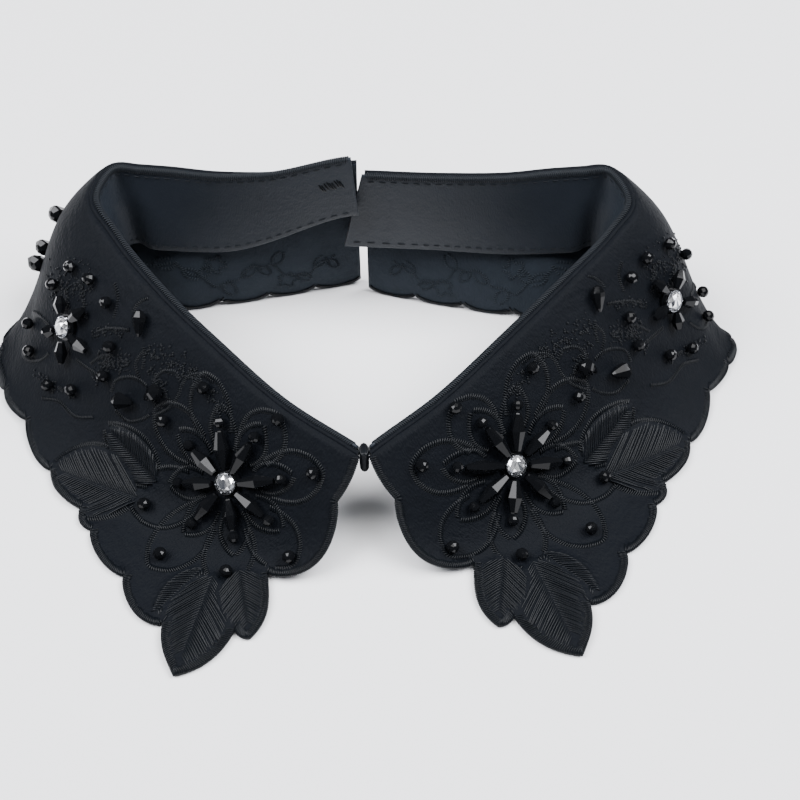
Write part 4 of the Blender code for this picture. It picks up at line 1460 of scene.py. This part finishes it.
def back_scrolls():
    """Wavy stem with pointed leaves and two small flowers along the back of a leaf."""
    stem = []
    s = BACK_SCROLL_START
    while s <= BACK_SCROLL_END:
        stem.append((s, back_stem(s)))
        s += 1.7
    lines = [stem]
    for station, heading, size in BACK_LEAF_ROWS:
        base = (station, back_stem(station))
        for hand in (-1, 1):
            lines.append([turned_spot(base, math.radians(heading), u * size,
                                      hand * 0.26 * size * math.sin(math.pi * u**0.85))
                          for u in (k / 6.0 for k in range(7))])
    for centre in BACK_FLOWER_SPOTS:
        turns = [2.0 * math.pi * k / 30.0 for k in range(31)]
        lines.append([turned_spot(centre, a, 2.6 * (1.0 + 0.28 * math.cos(5.0 * a)), 0.0) for a in turns])
    return lines


class COLLAR_OT_embroidery(bpy.types.Operator):
    """Work the satin stitches, the rope lines and the scattered knots"""
    bl_idname = "collar.embroidery"
    bl_label = "Embroidery"

    def execute(self, context):
        thread = context.scene.collar_thread
        surface = leaf_surface()
        pitch = thread.pitch / MM
        width = thread.rope_width / MM
        rayon = embroidery_thread(tuple(thread.colour))
        lining = embroidery_thread(tuple(thread.lining), "lining_side_thread", 0.6)
        flower = [lobe_line(row_dict(LOBE_COLUMNS, row)) for row in LOBE_ROWS] + spear_lines()
        scrolls = list(SCROLL_ROWS) + back_scrolls()
        for side, hand in HANDS.items():
            leaves = [path for index, motif in enumerate(MOTIFS)
                      for path in motif_stitches(surface, motif, index, pitch, side)]
            ropes = rope_paths(surface, on_hand(flower, side) + motif_outlines(), width, 0.92 * pitch,
                               side)
            thin = rope_paths(surface, on_hand(scrolls, side), 0.75 * width, 0.88 * pitch, side)
            inner = rope_paths(surface, back_scrolls(), 0.6 * width, pitch, side, inner=True)
            border = border_stitches(surface, pitch, side)
            thread_piece("satin_leaves_" + hand, leaves, thread.radius, rayon)
            thread_piece("satin_border_" + hand, border, 0.9 * thread.radius, rayon)
            thread_piece("rope_lines_" + hand, ropes, thread.radius, rayon)
            thread_piece("scroll_lines_" + hand, thin, 0.8 * thread.radius, rayon)
            thread_piece("inner_rope_lines_" + hand, inner, thread.radius * 0.7, lining)
        self.knots(surface, context.scene.collar_beads.seed, rayon)
        return {"FINISHED"}

    def knots(self, surface, seed, material):
        """Fields of small knots, strewn about the middle line of each."""
        knot = hidden_bead("knot_shape", lathe(KNOT_PROFILE, 6))
        for side, hand in HANDS.items():
            draws = random.Random(seed)
            spots = []
            for s0, t0, s1, t1, half, count in DUST_ROWS:
                run = Vector((s1 - s0, t1 - t0))
                across = Vector((-run.y, run.x)).normalized()
                for _ in range(count):
                    u = draws.random()
                    w = draws.gauss(0.0, 0.45) * half
                    s, t = sewn(s0 + run.x * u + across.x * w, t0 + run.y * u + across.y * w, side)
                    spots.append((surface.point(s, t, side, 0.02), surface.up(s, t, side)))
            mesh = bead_mesh("knots_" + hand, spots, knot, 0.7, 1.3, seed, material)
            finish_piece("knots_" + hand, mesh, None)
        bpy.data.objects.remove(knot, do_unlink=True)


def round_bead(radius):
    """Faceted round bead with a drilled hole's flat ends."""
    return lathe([(r * radius, z * radius) for r, z in BEAD_PROFILE], 9)


class COLLAR_OT_beads(bpy.types.Operator):
    """Sew on the round beads and the drop beads"""
    bl_idname = "collar.beads"
    bl_label = "Beads"

    def execute(self, context):
        beads = context.scene.collar_beads
        surface = leaf_surface()
        jet = jet_glass(tuple(beads.jet))
        shape = hidden_bead("round_bead_shape", round_bead(beads.bead_radius))
        lift = beads.bead_radius / MM - 0.1
        for side, hand in HANDS.items():
            draws = random.Random(beads.seed + 3)
            spots = []
            for row in SINGLE_BEADS + SHOULDER_BEADS:
                s, t = sewn(*row, side)
                tilt = Vector((draws.uniform(-0.5, 0.5), draws.uniform(-0.5, 0.5), 0.0))
                facing = (surface.up(s, t, side) + tilt).normalized()
                spots.append((surface.point(s, t, side, lift), facing))
            mesh = bead_mesh("round_beads_" + hand, spots, shape, 1.0, 1.0, beads.seed, jet)
            finish_piece("round_beads_" + hand, mesh, None, rounded=False)
            self.drops(surface, side, hand, jet)
        bpy.data.objects.remove(shape, do_unlink=True)
        return {"FINISHED"}

    def drops(self, surface, side, hand, jet):
        """Drop beads lying on the cloth, each with its narrow end along its heading."""
        parts = []
        for station, fall, length, radius, heading in DROP_ROWS:
            centre = sewn(station, fall, side)
            angle = math.radians(heading)
            near, far = (surface.point(*turned_spot(centre, angle, along, 0.0), side, height)
                         for along, height in ((-0.5 * length, radius), (0.5 * length, 0.7 * radius)))
            solid = lathe([(r * radius * MM, z * length * MM) for r, z in DROP_PROFILE], 7)
            parts.append((solid, axis_frame(near, far - near, surface.up(*centre, side))))
        finish_piece("drop_beads_" + hand, merged("drop_beads_" + hand, parts), jet,
                     rounded=False)


def faceted_stone(radius):
    """Round brilliant crown: eight-sided table, kites and girdle facets."""
    solid = bmesh.new()
    for share, height, count, turn in STONE_RINGS:
        for k in range(count):
            a = 2.0 * math.pi * (k + turn) / count
            solid.verts.new((share * radius * math.cos(a), share * radius * math.sin(a),
                             height * radius))
    bmesh.ops.convex_hull(solid, input=solid.verts)
    bmesh.ops.recalc_face_normals(solid, faces=solid.faces)
    return solid


class COLLAR_OT_flowers(bpy.types.Operator):
    """Finish the beaded flowers and set a stone in each"""
    bl_idname = "collar.flowers"
    bl_label = "Flowers"

    def execute(self, context):
        beads = context.scene.collar_beads
        surface = leaf_surface()
        jet = bpy.data.materials["fire_polished_jet_glass"]
        crystal = foiled_crystal()
        metal = plated_metal("rhodium_plated_cup", tuple(beads.cup), 0.22)
        for side, hand in HANDS.items():
            for kind, s, t in STONES:
                s, t = sewn(s, t, side)
                up = surface.up(s, t, side)
                centre = surface.point(s, t, side, FLOWER_LIFT)
                seat = axis_frame(centre, up, UP.cross(up))
                self.stone("{}_{}".format(kind, hand), seat, beads, crystal, metal)
                self.petals(kind.replace("stone", "flower"), surface, (s, t), side, seat, beads, jet)
        return {"FINISHED"}

    def petals(self, kind, surface, middle, side, seat, beads, jet):
        """Long faceted beads round a stone, each held by a small round bead where it has one."""
        wall = beads.cup_radius
        ring = lathe(((wall - 0.0004, 0.0), (wall + 0.0007, 0.0), (wall + 0.0007, 0.0007),
                      (wall - 0.0004, 0.0007)), 24)
        parts = [(ring, seat)]
        up = surface.up(*middle, side)
        draws = random.Random(beads.seed + side)
        for angle, inner, outer, radius in PETAL_ROWS[kind]:
            heading = math.radians(angle)
            far = surface.point(*turned_spot(middle, heading, outer, 0.0), side, radius)
            share = inner * MM / (far - seat.translation).length
            near = surface.point(*turned_spot(middle, heading, outer * share, 0.0), side, radius + 0.4)
            axis = far - near
            solid = lathe([(r * radius * MM, z * axis.length) for r, z in PETAL_PROFILE], 6)
            turn = Matrix.Rotation(draws.uniform(0.2, 0.85), 4, "Z")
            parts.append((solid, axis_frame(near, axis, up) @ turn))
            if kind == "front_flower":
                tip = turned_spot(middle, heading, outer + TIP_GAP, 0.0)
                place = axis_frame(surface.point(*tip, side, TIP_RADIUS), axis, up)
                parts.append((round_bead(TIP_RADIUS * MM), place))
        name = "{}_{}".format(kind, HANDS[side])
        piece = finish_piece(name + "_beads", merged(name + "_beads", parts), jet,
                             rounded=False)
        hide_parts(name)

    def stone(self, node, seat, beads, crystal, metal):
        """A cut stone in its claw cup."""
        cup = beads.cup_radius
        profile = ((0.0, 0.0), (0.86 * cup, 0.0), (cup, 0.0005), (cup, CUP_HEIGHT),
                   (0.93 * cup, CUP_HEIGHT), (0.90 * cup, 0.0008), (0.0, 0.0006))
        parts = [(lathe(profile, 28), seat)]
        for k in range(CLAWS):
            a = 2.0 * math.pi * k / CLAWS
            foot = Vector((0.985 * cup * math.cos(a), 0.985 * cup * math.sin(a), CUP_HEIGHT - 0.0006))
            lean = Vector((-0.35 * math.cos(a), -0.35 * math.sin(a), 1.0))
            place = axis_frame(foot, lean, Vector((-math.sin(a), math.cos(a), 0.0)))
            parts.append((lathe(CLAW_PROFILE, 6), seat @ place))
        finish_piece(node.replace("stone", "claw_cup"), merged(node + "_cup", parts), metal,
                     rounded=False)
        rise = Matrix.Translation((0.0, 0.0, CUP_HEIGHT - 0.0002))
        mesh = merged(node + "_crystal", [(faceted_stone(beads.stone_radius), seat @ rise)])
        # Painted reflections: a random value on each facet, which the crystal's ramp turns from dark grey
        # to white.
        painted_glint = mesh.attributes.new("painted_glint", "FLOAT", "FACE")
        draws = random.Random(beads.seed + len(node))
        painted_glint.data.foreach_set("value", [draws.random() for _ in mesh.polygons])
        piece = finish_piece(node + "_crystal", mesh, crystal, rounded=False)
        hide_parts(node)


class COLLAR_OT_closures(bpy.types.Operator):
    """Work the front bar and finish the back hook"""
    bl_idname = "collar.closures"
    bl_label = "Closures"

    def execute(self, context):
        thread = context.scene.collar_thread
        rayon = bpy.data.materials["rayon_embroidery_thread"]
        steel = plated_metal("blackened_steel_hook", tuple(context.scene.collar_beads.hook), 0.35)
        for node, material in (("front_bar", rayon), ("back_hook", steel)):
            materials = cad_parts[node].data.materials
            materials.clear()
            materials.append(material)
        thread_piece("front_bar_wraps", self.bar_wraps(), thread.radius, rayon)
        thread_piece("hook_sewing", self.hook_sewing(), thread.radius, rayon)
        return {"FINISHED"}

    def bar_wraps(self):
        """Turns of thread round the bar, from its foot to its head."""
        low, high = (Vector(corner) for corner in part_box("front_bar"))
        middle = 0.5 * (low + high)
        paths = []
        for turn in range(BAR_TURNS):
            u = (turn + 0.5) / BAR_TURNS
            z = low.z + (high - low).z * u
            y = middle.y + 0.35 * (u - 0.5) * 0.0052
            angles = [2.0 * math.pi * j / 12.0 for j in range(13)]
            paths.append([(middle.x + 0.00105 * math.cos(a), y + 0.00185 * math.sin(a),
                           z + 0.0002 * math.sin(a)) for a in angles])
        return paths

    def hook_sewing(self):
        """Stitches of the hook that show on the inner side of the left band."""
        band = row_dict(BAND_COLUMNS, BAND_ROWS[0])
        paths = []
        for k in range(9):
            path = []
            for j, depth in enumerate((0.2, -0.1, -0.1, -0.1, 0.2)):
                s = HOOK_STATION + 0.75 * k + 0.3 * j
                fall = HOOK_FALL + 0.9 * j + 0.5 * math.sin(1.7 * k)
                path.append(placed(band_point(s, fall, band, depth), -1))
            paths.append(path)
        return paths


class COLLAR_OT_stage(bpy.types.Operator):
    """Set the table, the light and the camera"""
    bl_idname = "collar.stage"
    bl_label = "Stage"

    def execute(self, context):
        stage = context.scene.collar_stage
        self.table(stage)
        self.lights(context)
        self.camera(context, stage)
        return {"FINISHED"}

    def table(self, stage):
        mat, _, _ = new_material("matt_white_table", tuple(stage.floor), 0.9)
        mesh = bpy.data.meshes.new("table_top")
        corners = [(x * TABLE_HALF, y * TABLE_HALF, 0.0) for x, y in ((-1, -1), (1, -1), (1, 1), (-1, 1))]
        mesh.from_pydata(corners, [], [(0, 1, 2, 3)])
        mesh.materials.append(mat)
        linked("table_top", mesh)

    def lights(self, context):
        world = bpy.data.worlds.new("studio")
        context.scene.world = world
        world.use_nodes = True
        back = world.node_tree.nodes["Background"]
        back.inputs["Color"].default_value = (*linear("#f1f3f7"), 1.0)
        back.inputs["Strength"].default_value = 0.12
        for name, place, size, power, colour in LAMP_ROWS:
            lamp = bpy.data.lights.new(name, "AREA")
            lamp.shape = "SQUARE"
            lamp.size = size
            lamp.energy = power
            lamp.color = linear(colour)
            holder = linked(name, lamp)
            holder.location = place
            holder.rotation_euler = (-Vector(place)).to_track_quat("-Z", "Y").to_euler()

    def camera(self, context, stage):
        e = stage.elevation
        a = stage.azimuth
        back = Vector((math.sin(a) * math.cos(e), -math.cos(a) * math.cos(e), math.sin(e)))
        data = bpy.data.cameras.new("view")
        data.lens = stage.lens
        data.sensor_width = 36.0
        data.clip_start = 0.01
        holder = linked("view", data)
        holder.location = Vector(VIEW_TARGET) + stage.distance * back
        holder.rotation_euler = (-back).to_track_quat("-Z", "Y").to_euler()
        context.scene.camera = holder


class COLLAR_PT_panel(bpy.types.Panel):
    """Buttons for every part of the collar"""
    bl_idname = "COLLAR_PT_panel"
    bl_label = "Collar"
    bl_space_type = "VIEW_3D"
    bl_region_type = "UI"
    bl_category = "Collar"

    def draw(self, context):
        for group in ("collar_cloth", "collar_thread", "collar_beads", "collar_stage"):
            settings = getattr(context.scene, group)
            box = self.layout.box()
            for name in settings.__annotations__:
                box.prop(settings, name)
        for step in STEPS:
            self.layout.operator(step.bl_idname)


STEPS = (
    COLLAR_OT_bands,
    COLLAR_OT_leaves,
    COLLAR_OT_seams,
    COLLAR_OT_embroidery,
    COLLAR_OT_beads,
    COLLAR_OT_flowers,
    COLLAR_OT_closures,
    COLLAR_OT_stage,
)
GROUPS = (
    ("collar_cloth", ClothSettings),
    ("collar_thread", ThreadSettings),
    ("collar_beads", BeadSettings),
    ("collar_stage", StageSettings),
)


def register():
    for name, group in GROUPS:
        bpy.utils.register_class(group)
        setattr(bpy.types.Scene, name, bpy.props.PointerProperty(type=group))
    for step in (*STEPS, COLLAR_PT_panel):
        bpy.utils.register_class(step)


def unregister():
    for step in (COLLAR_PT_panel, *reversed(STEPS)):
        bpy.utils.unregister_class(step)
    for name, group in reversed(GROUPS):
        delattr(bpy.types.Scene, name)
        bpy.utils.unregister_class(group)


def main():
    register()
    bpy.ops.collar.bands()
    bpy.ops.collar.leaves()
    bpy.ops.collar.seams()
    bpy.ops.collar.embroidery()
    bpy.ops.collar.beads()
    bpy.ops.collar.flowers()
    bpy.ops.collar.closures()
    bpy.ops.collar.stage()


if __name__ == "__main__":
    main()
